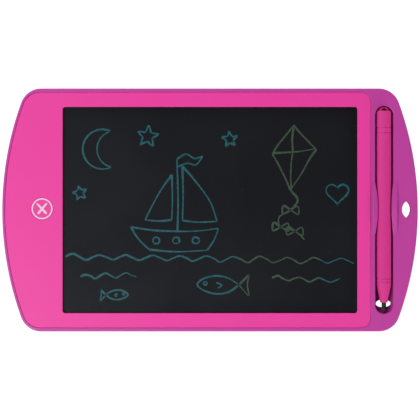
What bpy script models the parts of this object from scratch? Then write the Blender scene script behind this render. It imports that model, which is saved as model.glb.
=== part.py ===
"""LCD writing tablet: case with a side tray for its stylus, writing film, clearing circuit and stylus.

Metres, +Z up. The tablet lies on its back with the film facing up. +X runs along its length towards
the stylus tray, and the origin is on the table under the middle of the case.
"""

import math

import bmesh
import bpy
from mathutils import Matrix, Vector

# Clearances
fit_gap = 0.0003
thin_gap = 0.0002
cut_overrun = 0.002
flare_lift = 0.00005
weld_distance = 0.000002

# Plan of the case, from the screen window outwards
window_length = 0.2081
window_width = 0.1456
window_corner_radius = 0.0019
window_side_margin = 0.013
left_wing_width = 0.0427
bezel_right_margin = 0.00935
tray_width = 0.03335
end_bow_radius = 0.2213
case_corner_radius = 0.015

# Case shell
floor_thickness = 0.0012
rim_round = 0.0012
underside_taper_width = 0.009
underside_taper_rise = 0.003
rib_thickness = 0.001
ribs_across = 4
ribs_along = 3
bow_steps = 16
corner_steps = 5
taper_steps = 3
round_steps = 2
large_round_steps = 48
round_piece_steps = 20
small_hole_steps = 16

# Bezel
bezel_end_inset = 0.0021
bezel_side_inset = 0.0028
bezel_left_corner_radius = 0.0125
bezel_right_corner_radius = 0.007
bezel_plate_thickness = 0.0016
bezel_edge_round = 0.0004
bezel_skirt_thickness = 0.0012
ledge_width = 0.004
ledge_height = 0.004
bezel_boss_radius = 0.0025
bezel_boss_hole_radius = 0.0013
bezel_boss_hole_depth = 0.0029

# Writing film and what holds it
film_overlap = 0.003
film_thickness = 0.0006
tape_thickness = 0.0003
tape_width = 0.0024
backing_thickness = 0.0012
tail_width = 0.008
tail_thickness = 0.00015

# Circuit board, placed from the clearing button
board_thickness = 0.001
board_width = 0.023
board_length = 0.062
board_right_from_button = 0.008
board_top_from_button = 0.0171
part_on_board_gap = 0.0001
board_boss_radius = 0.0024
board_boss_hole_radius = 0.0011
board_screw_inset = 0.003
board_screw_shank_radius = 0.0008
board_screw_head_radius = 0.0016
board_screw_head_height = 0.001
connector_size = Vector((0.0026, 0.010, 0.001))
connector_inset = 0.0004
connector_from_button = 0.0109
chip_size = Vector((0.004, 0.005, 0.0013))
chip_lead_width = 0.0004
chip_lead_reach = 0.001
chip_leads_a_side = 4
coil_radius = 0.0021
coil_waist_radius = 0.0015
coil_height = 0.0021
coil_flange = 0.0005
capacitor_size = Vector((0.0032, 0.0016, 0.0013))
small_edge = 0.00015

# Clearing button and the push switch under it
button_from_window = 0.01445
button_from_middle = 0.0009
button_radius = 0.00775
button_flange_overlap = 0.0012
button_flange_thickness = 0.0008
button_edge_round = 0.0003
press_travel = 0.0005
switch_body_width = 0.006
switch_body_height = 0.0012
switch_well_depth = 0.0009
plunger_radius = 0.00145
plunger_well_gap = 0.0001

# Battery well in the shell's floor, its cell and door
cell_radius = 0.010
cell_thickness = 0.0016
cell_cap_radius = 0.0088
cell_cap_rise = 0.0003
cell_from_board_end = 0.0195
cell_well_gap = 0.001
contact_thickness = 0.00015
positive_contact_width = 0.005
positive_contact_bow = 0.00012
negative_contact_length = 0.012
negative_contact_width = 0.005
contact_space = 0.0005
door_width = 0.0244
door_length = 0.0324
door_thickness = 0.0012
door_corner_radius = 0.002
door_shift = 0.0025
door_screw_inset = 0.0032
door_grip_length = 0.008
door_grip_width = 0.0008
door_grip_depth = 0.0004
door_grip_count = 3
well_wall = 0.002
back_recess = 0.0003

# Lock switch on the board's underside and its slider in the back
lock_from_button = 0.0083
lock_travel = 0.002
lock_knob_size = Vector((0.0026, 0.0034))
lock_flange_margin = 0.0012
lock_flange_thickness = 0.0008
lock_pin_width = 0.001
lock_pin_height = 0.0007
lock_body_width = 0.004
lock_body_length = 0.008
lock_groove_depth = 0.0007

# Screws that hold the bezel to the shell
case_screw_shank_radius = 0.001
case_screw_head_radius = 0.0021
case_screw_head_height = 0.0012
case_screw_from_edge = 0.0069
case_screw_post_radius = 0.0032
wing_screw_from_window = 0.02295
wing_screw_from_edge = 0.0279
door_screw_head_height = 0.0005
cross_recess_depth = 0.0004
cross_recess_width = 0.0005
cross_recess_reach = 0.0012
cross_end_share = 0.7

# Stylus slot in the tray
slot_from_bezel = 0.0096
slot_side_gap = 0.00105
slot_floor_thickness = 0.001
slot_end_margin = 0.0124
slot_edge_round = 0.0005
slot_top_gap = 0.0006
slot_nib_gap = 0.002
slot_end_steps = 12
slot_floor_steps = 5
push_hole_length = 0.011
push_hole_width = 0.0055
push_hole_from_end = 0.007
lanyard_hole_from_end = 0.00815
lanyard_hole_from_middle = 0.0003
lanyard_hole_length = 0.0118
lanyard_hole_width = 0.0063

# Retaining clips beside the slot
clip_length = 0.0364
clip_from_middle = 0.0009
clip_left_reach = 0.0019
clip_right_reach = 0.0014
clip_depth = 0.0017
clip_rise = 0.0015
clip_edge_round = 0.0009
clip_end_round = 0.0003
clip_left_root = 0.0017
clip_right_root = 0.0027
clip_steps = 12
clip_round_steps = 3

# Stylus
stylus_radius = 0.0053
stylus_bore_radius = 0.0036
stylus_seam = 0.0003
stylus_seam_chamfer = 0.00035
nib_radius = 0.0014
nib_exposed_length = 0.006
nib_held_length = 0.010
cone_length = 0.0144
cone_end_radius = 0.0025
cone_shoulder_radius = 0.0051
cone_spigot_length = 0.008
ring_length = 0.0018
collar_length = 0.0033
cap_length = 0.0119
cap_top_radius = 0.0042
cap_top_round = 0.0012
cap_spigot_length = 0.010
eyelet_height = 0.0028
eyelet_width = 0.0076
eyelet_thickness = 0.003
eyelet_hole_width = 0.0032
eyelet_hole_height = 0.0015
eyelet_hole_from_cap = 0.00095
stylus_steps = 28
cone_fullness = 1.25
cone_stations = 5

# Sizes of the whole case that follow
case_length = left_wing_width + window_length + bezel_right_margin + tray_width
case_width = window_width + 2 * window_side_margin
window_x = -case_length / 2 + left_wing_width + window_length / 2
window_left = window_x - window_length / 2
bezel_right = window_x + window_length / 2 + bezel_right_margin

# Heights from the table up through the battery well, board, switch and button to the bezel's face
door_recess_height = back_recess + door_thickness + fit_gap
cell_bottom = door_recess_height
cell_top = cell_bottom + cell_thickness
board_bottom = cell_top + contact_space
board_top = board_bottom + board_thickness
well_top = board_bottom - fit_gap
on_board = board_top + part_on_board_gap
switch_top = on_board + switch_body_height
plunger_top = switch_top + press_travel
button_bottom = plunger_top + thin_gap
button_flange_top = button_bottom + button_flange_thickness
bezel_underside = button_flange_top + fit_gap
case_height = bezel_underside + bezel_plate_thickness

# Heights of the film's layers, from the bezel's underside down to the shell's ribs
tape_top = bezel_underside - thin_gap
film_top = tape_top - tape_thickness - thin_gap
film_bottom = film_top - film_thickness
backing_top = film_bottom - thin_gap
backing_bottom = backing_top - backing_thickness
rib_top = backing_bottom - fit_gap
skirt_bottom = ledge_height + fit_gap
post_top = ledge_height - thin_gap
cross_rib_top = post_top - thin_gap

# Places that several pieces share
button_x = window_left - button_from_window
board_right = button_x + board_right_from_button
board_left = board_right - board_width
board_x = (board_left + board_right) / 2
board_high_y = button_from_middle + board_top_from_button
board_low_y = board_high_y - board_length
cell_y = board_low_y + cell_from_board_end
cell_well_radius = cell_radius + cell_well_gap
door_y = cell_y - door_shift
door_screw_y = door_y - door_length / 2 + door_screw_inset
lock_y = button_from_middle + lock_from_button
slot_x = bezel_right + slot_from_bezel
channel_radius = stylus_radius + slot_side_gap
channel_z = slot_floor_thickness + channel_radius
stylus_z = slot_floor_thickness + fit_gap + stylus_radius
slot_length = case_width - 2 * slot_end_margin
slot_low_y = -slot_length / 2
slot_high_y = slot_length / 2
push_hole_y = slot_low_y + push_hole_from_end
lanyard_x = case_length / 2 - lanyard_hole_from_end
screw_row_y = case_width / 2 - case_screw_from_edge
wing_screw_y = case_width / 2 - wing_screw_from_edge
case_screw_places = [
    (x, side * screw_row_y)
    for side in (1, -1)
    for x in (window_left, window_x, window_x + window_length / 2)
] + [(window_left - wing_screw_from_window, side * wing_screw_y) for side in (1, -1)]
board_screw_y = board_high_y - board_screw_inset
board_screw_places = [
    (board_left + board_screw_inset, board_screw_y),
    (board_right - board_screw_inset, board_screw_y),
]


def start_scene():
    """Empty the scene and make one collection for the tablet and one for its cutters."""
    for obj in list(bpy.data.objects):
        bpy.data.objects.remove(obj)
    made = []
    for name in ("lcd_writing_tablet", "cutters"):
        collection = bpy.data.collections.new(name)
        bpy.context.scene.collection.children.link(collection)
        made.append(collection)
    return made


tablet, cutters = start_scene()


def finish(name, colour, roughness, metallic=0):
    """A plain material with one colour."""
    material = bpy.data.materials.new(name)
    material.use_nodes = True
    shader = material.node_tree.nodes["Principled BSDF"]
    shader.inputs["Base Color"].default_value = (*colour, 1)
    shader.inputs["Roughness"].default_value = roughness
    shader.inputs["Metallic"].default_value = metallic
    return material


def set_part(obj, material):
    """Make an object a part of the tablet, with round faces shaded smooth."""
    obj.data.materials.clear()
    obj.data.materials.append(material)
    obj.data.shade_smooth()
    obj.data.set_sharp_from_angle(angle=math.radians(30))
    for collection in list(obj.users_collection):
        collection.objects.unlink(obj)
    tablet.objects.link(obj)
    return obj


def set_cutter(obj):
    """Make an object a hidden cutting or joining shape."""
    obj.hide_render = True
    obj.display_type = "WIRE"
    for collection in list(obj.users_collection):
        collection.objects.unlink(obj)
    cutters.objects.link(obj)
    return obj


def mesh_object(name, bm, location=(0, 0, 0)):
    """An object holding a bmesh, placed at its origin."""
    bmesh.ops.recalc_face_normals(bm, faces=bm.faces)
    mesh = bpy.data.meshes.new(name)
    bm.to_mesh(mesh)
    bm.free()
    obj = bpy.data.objects.new(name, mesh)
    obj.location = location
    tablet.objects.link(obj)
    return obj


def combine(target, tool, operation):
    """Cut a tool from a part, or join it to the part."""
    modifier = target.modifiers.new(tool.name, "BOOLEAN")
    modifier.operation = operation
    modifier.solver = "EXACT"
    modifier.object = set_cutter(tool)


def cut(target, *tools):
    for tool in tools:
        combine(target, tool, "DIFFERENCE")


def join(target, *tools):
    for tool in tools:
        combine(target, tool, "UNION")


def arc(centre, radius, start, end, steps):
    """Points on an arc between two angles, both ends included."""
    angles = [start + (end - start) * step / steps for step in range(steps + 1)]
    return [(centre[0] + radius * math.cos(a), centre[1] + radius * math.sin(a)) for a in angles]


def bowed_end(half_length, half_width, bow_radius, fillet):
    """A bowed right-hand end with rounded corners, from its lower side to its upper side."""
    reach = math.sqrt((bow_radius - fillet) ** 2 - (half_width - fillet) ** 2)
    bow_centre_x = half_length - bow_radius
    turn = math.atan2(half_width - fillet, reach)
    fillet_x = bow_centre_x + reach
    lower = arc((fillet_x, fillet - half_width), fillet, -math.pi / 2, -turn, corner_steps)
    bow = arc((bow_centre_x, 0), bow_radius, -turn, turn, bow_steps)
    upper = arc((fillet_x, half_width - fillet), fillet, turn, math.pi / 2, corner_steps)
    return lower + bow[1:-1] + upper


def case_outline():
    right = bowed_end(case_length / 2, case_width / 2, end_bow_radius, case_corner_radius)
    return right + [(-x, -y) for x, y in right]


def bezel_outline(grow):
    """The bezel's edge, grown outwards: bowed on the left, straight with round corners on the right."""
    half_width = case_width / 2 - bezel_side_inset + grow
    left = bowed_end(
        case_length / 2 - bezel_end_inset + grow,
        half_width,
        end_bow_radius - bezel_end_inset + grow,
        bezel_left_corner_radius + grow,
    )
    radius = bezel_right_corner_radius + grow
    corner_x = bezel_right + grow - radius
    lower = arc((corner_x, radius - half_width), radius, -math.pi / 2, 0, corner_steps)
    upper = arc((corner_x, half_width - radius), radius, 0, math.pi / 2, corner_steps)
    return lower + upper + [(-x, -y) for x, y in left]


def rounded_rectangle(centre, length, width, radius):
    points = []
    for quarter, (side_x, side_y) in enumerate(((1, 1), (-1, 1), (-1, -1), (1, -1))):
        corner = (
            centre[0] + side_x * (length / 2 - radius),
            centre[1] + side_y * (width / 2 - radius),
        )
        start = quarter * math.pi / 2
        points += arc(corner, radius, start, start + math.pi / 2, corner_steps)
    return points


def slot_outline(radius):
    """The stylus slot seen from above, with round ends."""
    reach = slot_length / 2 - channel_radius
    upper = arc((slot_x, reach), radius, 0, math.pi, slot_end_steps)
    lower = arc((slot_x, -reach), radius, math.pi, 2 * math.pi, slot_end_steps)
    return upper + lower


def ellipse(centre, length, width, steps):
    angles = [2 * math.pi * step / steps for step in range(steps)]
    return [
        (centre[0] + length / 2 * math.cos(a), centre[1] + width / 2 * math.sin(a)) for a in angles
    ]


def lens(centre, width, length, steps):
    """A pointed oval standing along Y, made of two arcs."""
    radius = ((length / 2) ** 2 + (width / 2) ** 2) / width
    turn = math.asin(length / 2 / radius)
    right = arc((centre[0] + width / 2 - radius, centre[1]), radius, -turn, turn, steps)
    left = arc((centre[0] - width / 2 + radius, centre[1]), radius, math.pi - turn, math.pi + turn, steps)
    return right[:-1] + left[:-1]


def raise_outline(name, points, low, high, centre=(0, 0)):
    """A closed outline, drawn round its centre, raised between two heights as a closed mesh."""
    curve = bpy.data.curves.new(name + "_outline", "CURVE")
    curve.dimensions = "2D"
    curve.fill_mode = "BOTH"
    curve.extrude = (high - low) / 2
    spline = curve.splines.new("POLY")
    spline.points.add(len(points) - 1)
    for point, (x, y) in zip(spline.points, points):
        point.co = (x, y, 0, 1)
    spline.use_cyclic_u = True
    flat = bpy.data.objects.new(name + "_outline", curve)
    flat.location = (*centre, (low + high) / 2)
    tablet.objects.link(flat)
    bpy.context.view_layer.update()
    mesh = bpy.data.meshes.new_from_object(flat.evaluated_get(bpy.context.evaluated_depsgraph_get()))
    bm = bmesh.new()
    bm.from_mesh(mesh)
    bmesh.ops.remove_doubles(bm, verts=bm.verts, dist=weld_distance)
    caps = [face for face in bm.faces if abs(face.normal.z) > abs(face.normal.x) + abs(face.normal.y)]
    inner = {edge for face in caps for edge in face.edges if all(f in caps for f in edge.link_faces)}
    bmesh.ops.dissolve_edges(bm, edges=list(inner), use_verts=False)  # one face above and one below
    bmesh.ops.recalc_face_normals(bm, faces=bm.faces)
    bm.to_mesh(mesh)
    bm.free()
    mesh.name = name
    solid = bpy.data.objects.new(name, mesh)
    solid.matrix_world = flat.matrix_world
    tablet.objects.link(solid)
    bpy.data.objects.remove(flat)
    return solid


def draw_in(obj, side, steps):
    """Carry the upper (side 1) or lower (side -1) face on through steps of inset and advance."""
    bm = bmesh.new()
    bm.from_mesh(obj.data)
    face = max(bm.faces, key=lambda f: side * f.calc_center_median().z)
    for inset, advance in steps:
        bmesh.ops.inset_region(
            bm, faces=[face], thickness=inset, depth=advance, use_boundary=True, use_even_offset=True
        )
    bm.to_mesh(obj.data)
    bm.free()


def quarter_angles(count):
    return [math.pi / 2 * step / count for step in range(count + 1)]


def quarter_steps(width, height, count):
    """Steps of inset and advance from an upright wall round to a flat face."""
    angles = quarter_angles(count)
    return [
        (width * (math.cos(a) - math.cos(b)), height * (math.sin(b) - math.sin(a)))
        for a, b in zip(angles, angles[1:])
    ]


def hollow_quarter_steps(width, height, count):
    """Steps of inset and advance from a flat face round to an upright wall."""
    return [(inset, advance) for advance, inset in quarter_steps(height, width, count)]


def box(name, low, high):
    """A box between two corners."""
    low, high = Vector(low), Vector(high)
    bm = bmesh.new()
    bmesh.ops.create_cube(bm, size=1)
    bmesh.ops.scale(bm, vec=high - low, verts=bm.verts)
    return mesh_object(name, bm, (low + high) / 2)


def box_group(name, boxes):
    """Several separate boxes in one object."""
    bm = bmesh.new()
    for low, high in boxes:
        low, high = Vector(low), Vector(high)
        matrix = Matrix.Translation((low + high) / 2) @ Matrix.Diagonal((*(high - low), 1))
        bmesh.ops.create_cube(bm, size=1, matrix=matrix)
    return mesh_object(name, bm)


def cylinder_group(name, places, radius, low, high, segments=round_piece_steps):
    """Several upright cylinders of one size in one object."""
    bm = bmesh.new()
    for x, y in places:
        bmesh.ops.create_cone(
            bm,
            cap_ends=True,
            segments=segments,
            radius1=radius,
            radius2=radius,
            depth=high - low,
            matrix=Matrix.Translation((x, y, (low + high) / 2)),
        )
    return mesh_object(name, bm)


def turned(name, profile, location, steps, closed=False):
    """A profile of radius and height, from top to bottom, turned round the upright axis."""
    mesh = bpy.data.meshes.new(name)
    edges = [(index, index + 1) for index in range(len(profile) - 1)]
    if closed:
        edges.append((len(profile) - 1, 0))
    mesh.from_pydata([(radius, 0, height) for radius, height in profile], edges, [])
    obj = bpy.data.objects.new(name, mesh)
    obj.location = location
    tablet.objects.link(obj)
    screw = obj.modifiers.new("turn", "SCREW")
    screw.steps = steps
    screw.render_steps = steps
    screw.use_merge_vertices = True
    screw.merge_threshold = weld_distance
    return obj


def bent_strip(name, path, middle_y, width, thickness):
    """A thin strip that follows a path of x and z, with its width along Y."""
    bm = bmesh.new()
    line = [bm.verts.new((x, middle_y - width / 2, z)) for x, z in path]
    edges = [bm.edges.new(pair) for pair in zip(line, line[1:])]
    moved = bmesh.ops.extrude_edge_only(bm, edges=edges)["geom"]
    far = [item for item in moved if isinstance(item, bmesh.types.BMVert)]
    bmesh.ops.translate(bm, vec=(0, width, 0), verts=far)
    strip = mesh_object(name, bm)
    solid = strip.modifiers.new("thickness", "SOLIDIFY")
    solid.thickness = thickness
    solid.offset = 0
    solid.use_even_offset = True
    return strip


def soften(obj, width):
    """Small bevels on the sharp edges of a part."""
    bevel = obj.modifiers.new("edges", "BEVEL")
    bevel.width = width
    bevel.segments = 1
    bevel.limit_method = "ANGLE"
    bevel.angle_limit = math.radians(40)


def cross_cutter(name, x, y, low, high):
    """The cross that a screwdriver turns in a screw's head."""
    reach, half = cross_recess_reach, cross_recess_width / 2
    end = half * cross_end_share
    corner = [(reach, -end), (reach, end), (half, half)]
    points = []
    for quarter in range(4):
        turn = Matrix.Rotation(quarter * math.pi / 2, 2)
        points += [tuple(Vector((x, y)) + turn @ Vector(point)) for point in corner]
    return raise_outline(name, points, low, high)


def upward_screw(name, x, y, seat, head_radius, head_height, shank_radius, shank_top):
    """A screw put in from the back: its head lies under its seat and its shank points up."""
    head_top = seat - fit_gap
    head_low = head_top - head_height
    profile = [
        (0, shank_top - head_low),
        (shank_radius, shank_top - head_low),
        (shank_radius, head_height),
        (head_radius, head_height),
        (head_radius, 0),
        (0, 0),
    ]
    screw = turned(name, profile, (x, y, head_low), round_piece_steps)
    cross = cross_cutter(name + "_cross", x, y, head_low - cut_overrun, head_low + cross_recess_depth)
    cut(screw, cross)
    return set_part(screw, steel)


purple = finish("purple_plastic", (0.46, 0.045, 0.30), 0.45)
pink = finish("pink_plastic", (0.78, 0.05, 0.34), 0.45)
stylus_pink = finish("stylus_pink", (0.62, 0.05, 0.25), 0.35)
nib_black = finish("nib_black", (0.02, 0.025, 0.024), 0.4)
film_dark = finish("writing_film", (0.013, 0.013, 0.015), 0.25)
black_plastic = finish("black_plastic", (0.02, 0.02, 0.02), 0.6)
amber_film = finish("amber_film", (0.45, 0.2, 0.03), 0.35)
board_green = finish("board_green", (0.02, 0.16, 0.07), 0.4)
steel = finish("steel", (0.6, 0.6, 0.62), 0.3, 1)
copper = finish("copper", (0.72, 0.35, 0.2), 0.35, 1)
ceramic = finish("ceramic_tan", (0.5, 0.38, 0.24), 0.5)


def make_shell():
    """The back shell: rim, seat for the bezel, battery well, ribs, screw posts and stylus tray."""
    shell = raise_outline("back_shell", case_outline(), underside_taper_rise, case_height - rim_round)
    draw_in(shell, 1, quarter_steps(rim_round, rim_round, round_steps))
    draw_in(shell, -1, quarter_steps(underside_taper_width, underside_taper_rise, taper_steps))

    seat_brim = case_height + flare_lift
    seat = raise_outline(
        "bezel_seat", bezel_outline(fit_gap + bezel_edge_round), seat_brim, seat_brim + cut_overrun
    )
    draw_in(seat, -1, hollow_quarter_steps(bezel_edge_round, bezel_edge_round, round_steps))
    draw_in(seat, -1, [(0, seat_brim - bezel_edge_round - ledge_height)])
    pocket_outline = bezel_outline(fit_gap - ledge_width)
    pocket = raise_outline("deep_pocket", pocket_outline, floor_thickness, case_height)
    cut(shell, seat, pocket)

    add_floor_features(shell)
    cut_floor_holes(shell)
    cut_tray(shell)
    return set_part(shell, purple)


def add_floor_features(shell):
    """The battery well, screw posts, board bosses and ribs that stand on the floor."""
    root = floor_thickness - fit_gap
    half_x = door_width / 2 + fit_gap + well_wall
    half_y = door_length / 2 + fit_gap + well_wall
    well = box(
        "battery_well",
        (board_x - half_x, door_y - half_y, root),
        (board_x + half_x, door_y + half_y, well_top),
    )
    posts = cylinder_group("screw_posts", case_screw_places, case_screw_post_radius, root, post_top)
    bosses = cylinder_group("board_bosses", board_screw_places, board_boss_radius, root, well_top)
    pocket_half_width = case_width / 2 - bezel_side_inset - ledge_width / 2
    rib_left = window_left - film_overlap + ledge_width / 2
    rib_right = bezel_right - ledge_width / 2
    half_rib = rib_thickness / 2
    across = []
    for rib in range(ribs_across):
        x = rib_left + half_rib + (rib_right - rib_left) * rib / ribs_across
        low = (x - half_rib, -pocket_half_width, root)
        across.append((low, (x + half_rib, pocket_half_width, cross_rib_top)))
    along = []
    for rib in range(ribs_along):
        y = window_width * ((rib + 1) / (ribs_along + 1) - 1 / 2)
        along.append(((rib_left, y - half_rib, root), (rib_right, y + half_rib, rib_top)))
    join(shell, well, posts, bosses, box_group("ribs_across", across), box_group("ribs_along", along))


def cut_floor_holes(shell):
    """Everything that opens the floor from the back, and the blind holes for the board screws."""
    below = -cut_overrun
    recess = raise_outline(
        "door_recess",
        rounded_rectangle(
            (board_x, door_y),
            door_width + 2 * fit_gap,
            door_length + 2 * fit_gap,
            door_corner_radius + fit_gap,
        ),
        below,
        door_recess_height,
    )
    cell_hole = cylinder_group(
        "cell_hole", [(board_x, cell_y)], cell_well_radius, below, board_bottom, large_round_steps
    )
    door_screw_hole = cylinder_group(
        "door_screw_hole", [(board_x, door_screw_y)], bezel_boss_hole_radius, below, well_top - fit_gap
    )
    counterbores = cylinder_group(
        "case_counterbores",
        case_screw_places,
        case_screw_head_radius + fit_gap,
        below,
        back_recess + case_screw_head_height + fit_gap,
    )
    shank_holes = cylinder_group(
        "case_shank_holes",
        case_screw_places,
        case_screw_shank_radius + fit_gap,
        below,
        ledge_height + cut_overrun,
        small_hole_steps,
    )
    board_holes = cylinder_group(
        "board_boss_holes",
        board_screw_places,
        board_boss_hole_radius,
        floor_thickness + fit_gap,
        well_top + cut_overrun,
        small_hole_steps,
    )
    knob_room = lock_knob_size / 2 + Vector((fit_gap, fit_gap + lock_travel / 2))
    lock_slot = box(
        "lock_slot",
        (board_x - knob_room.x, lock_y - knob_room.y, below),
        (board_x + knob_room.x, lock_y + knob_room.y, floor_thickness + cut_overrun / 2),
    )
    cut(shell, recess, cell_hole, door_screw_hole, counterbores, shank_holes, board_holes, lock_slot)


def cut_tray(shell):
    """The stylus slot with its round floor, the push-out hole, the lanyard hole and the clips' seats."""
    top = case_height + cut_overrun
    brim = case_height + flare_lift
    slot = raise_outline("stylus_slot", slot_outline(channel_radius + slot_edge_round), brim, top)
    draw_in(slot, -1, hollow_quarter_steps(slot_edge_round, slot_edge_round, round_steps))
    draw_in(slot, -1, [(0, brim - slot_edge_round - channel_z)])
    draw_in(slot, -1, quarter_steps(channel_radius, channel_radius, slot_floor_steps)[:-1])
    last = quarter_steps(channel_radius, channel_radius, slot_floor_steps)[-1]
    draw_in(slot, -1, [(last[0] / 2, last[1])])
    push_hole = raise_outline(
        "push_out_hole",
        ellipse((slot_x, push_hole_y), push_hole_length, push_hole_width, 2 * slot_end_steps),
        -cut_overrun,
        channel_z,
    )
    lanyard = raise_outline(
        "lanyard_hole",
        lens((lanyard_x, lanyard_hole_from_middle), lanyard_hole_width, lanyard_hole_length, slot_end_steps // 2),
        -cut_overrun,
        top,
    )
    seats = []
    for side, root in ((-1, clip_left_root), (1, clip_right_root)):
        wall = slot_x + side * channel_radius
        inner = wall - side * channel_radius / 2
        outer = wall + side * (root + fit_gap)
        half = clip_length / 2 + fit_gap
        seats.append(
            (
                (min(inner, outer), clip_from_middle - half, case_height - clip_depth - fit_gap),
                (max(inner, outer), clip_from_middle + half, top),
            )
        )
    cut(shell, slot, push_hole, lanyard, box_group("clip_seats", seats))


def make_bezel():
    """The front bezel: a plate with a skirt, the screen window, the button hole and screw bosses."""
    bezel = raise_outline("front_bezel", bezel_outline(0), skirt_bottom, case_height - bezel_edge_round)
    draw_in(bezel, 1, quarter_steps(bezel_edge_round, bezel_edge_round, round_steps))
    inside = raise_outline(
        "bezel_inside", bezel_outline(-bezel_skirt_thickness), skirt_bottom - cut_overrun, bezel_underside
    )
    bosses = cylinder_group(
        "bezel_bosses",
        case_screw_places,
        bezel_boss_radius,
        skirt_bottom,
        bezel_underside + bezel_plate_thickness / 2,
        small_hole_steps,
    )
    boss_holes = cylinder_group(
        "bezel_boss_holes",
        case_screw_places,
        bezel_boss_hole_radius,
        skirt_bottom - cut_overrun,
        skirt_bottom + bezel_boss_hole_depth,
        small_hole_steps,
    )
    window = raise_outline(
        "screen_window",
        rounded_rectangle((window_x, 0), window_length, window_width, window_corner_radius),
        bezel_underside - cut_overrun,
        case_height + cut_overrun,
    )
    button_hole = cylinder_group(
        "button_hole",
        [(button_x, button_from_middle)],
        button_radius + fit_gap,
        bezel_underside - cut_overrun,
        case_height + cut_overrun,
        large_round_steps,
    )
    cut(bezel, inside)
    join(bezel, bosses)
    cut(bezel, boss_holes, window, button_hole)
    return set_part(bezel, pink)


def make_case_screws():
    seat = back_recess + case_screw_head_height + fit_gap
    shank_top = skirt_bottom + bezel_boss_hole_depth - fit_gap
    for number, (x, y) in enumerate(case_screw_places, 1):
        upward_screw(
            f"case_screw_{number}",
            x,
            y,
            seat,
            case_screw_head_radius,
            case_screw_head_height,
            case_screw_shank_radius,
            shank_top,
        )


def clip_section(lip, back, top, edge):
    """A clip's cross-section, by distance from the slot's middle and height, with round upper edges."""
    low = case_height - clip_depth
    lip_side = arc((lip + edge, top - edge), edge, math.pi, math.pi / 2, clip_round_steps)
    back_side = arc((back - edge, top - edge), edge, math.pi / 2, 0, clip_round_steps)
    return [(back, low), (lip, low), *lip_side, *back_side]


def make_clip(name, side, root, reach):
    """A springy clip beside the slot: a low arch whose root sits in the tray and whose lip leans
    over the stylus. The arch and the lip swell from nothing at both ends to their most in the middle.
    """
    bm = bmesh.new()
    rows = []
    for station in range(clip_steps + 1):
        share = 2 * station / clip_steps - 1
        swell = 1 - share**2
        section = clip_section(
            channel_radius - reach * swell,
            channel_radius + root,
            case_height + clip_rise * swell,
            clip_end_round + (clip_edge_round - clip_end_round) * swell,
        )
        y = clip_from_middle + clip_length / 2 * share
        rows.append([bm.verts.new((slot_x + side * u, y, z)) for u, z in section])
    for row, beyond in zip(rows, rows[1:]):
        for index, vert in enumerate(row):
            bm.faces.new((row[index - 1], vert, beyond[index], beyond[index - 1]))
    bm.faces.new(rows[0])
    bm.faces.new(rows[-1])
    clip = mesh_object(name, bm)
    room = bmesh.new()
    bmesh.ops.create_cone(
        room,
        cap_ends=True,
        segments=2 * stylus_steps,
        radius1=stylus_radius + fit_gap,
        radius2=stylus_radius + fit_gap,
        depth=2 * clip_length,
        matrix=Matrix.Rotation(math.pi / 2, 4, "X"),
    )
    cut(clip, mesh_object(name + "_room", room, (slot_x, clip_from_middle, stylus_z)))
    return set_part(clip, purple)


def make_film_stack():
    """The writing film with its adhesive frame above, its backing board below and its contact tail."""
    length = window_length + 2 * film_overlap
    width = window_width + 2 * film_overlap
    left = window_x - length / 2
    right = window_x + length / 2
    tape_low = tape_top - tape_thickness
    tape = box("film_tape_frame", (left, -width / 2, tape_low), (right, width / 2, tape_top))
    hole_x = length / 2 - tape_width
    hole_y = width / 2 - tape_width
    hole = box(
        "tape_hole",
        (window_x - hole_x, -hole_y, tape_top - cut_overrun),
        (window_x + hole_x, hole_y, tape_top + cut_overrun),
    )
    cut(tape, hole)
    set_part(tape, black_plastic)
    film = box("lcd_film", (left, -width / 2, film_bottom), (right, width / 2, film_top))
    set_part(film, film_dark)
    backing = box("backing_board", (left, -width / 2, backing_bottom), (right, width / 2, backing_top))
    set_part(backing, black_plastic)

    start_x = board_right - connector_inset + thin_gap
    end_x = left - thin_gap
    low_z = on_board + connector_size.z / 2
    high_z = (film_top + film_bottom) / 2
    bend = (end_x - start_x) / 3
    path = [(start_x, low_z), (start_x + bend, low_z), (end_x - bend, high_z), (end_x, high_z)]
    tail_y = button_from_middle - connector_from_button
    tail = bent_strip("film_contact_tail", path, tail_y, tail_width, tail_thickness)
    set_part(tail, amber_film)


def on_board_box(name, x, y, size, material):
    """A small part with bevelled edges that stands on the circuit board."""
    low = (x - size.x / 2, y - size.y / 2, on_board)
    high = (x + size.x / 2, y + size.y / 2, on_board + size.z)
    part = box(name, low, high)
    soften(part, small_edge)
    return set_part(part, material)


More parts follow.
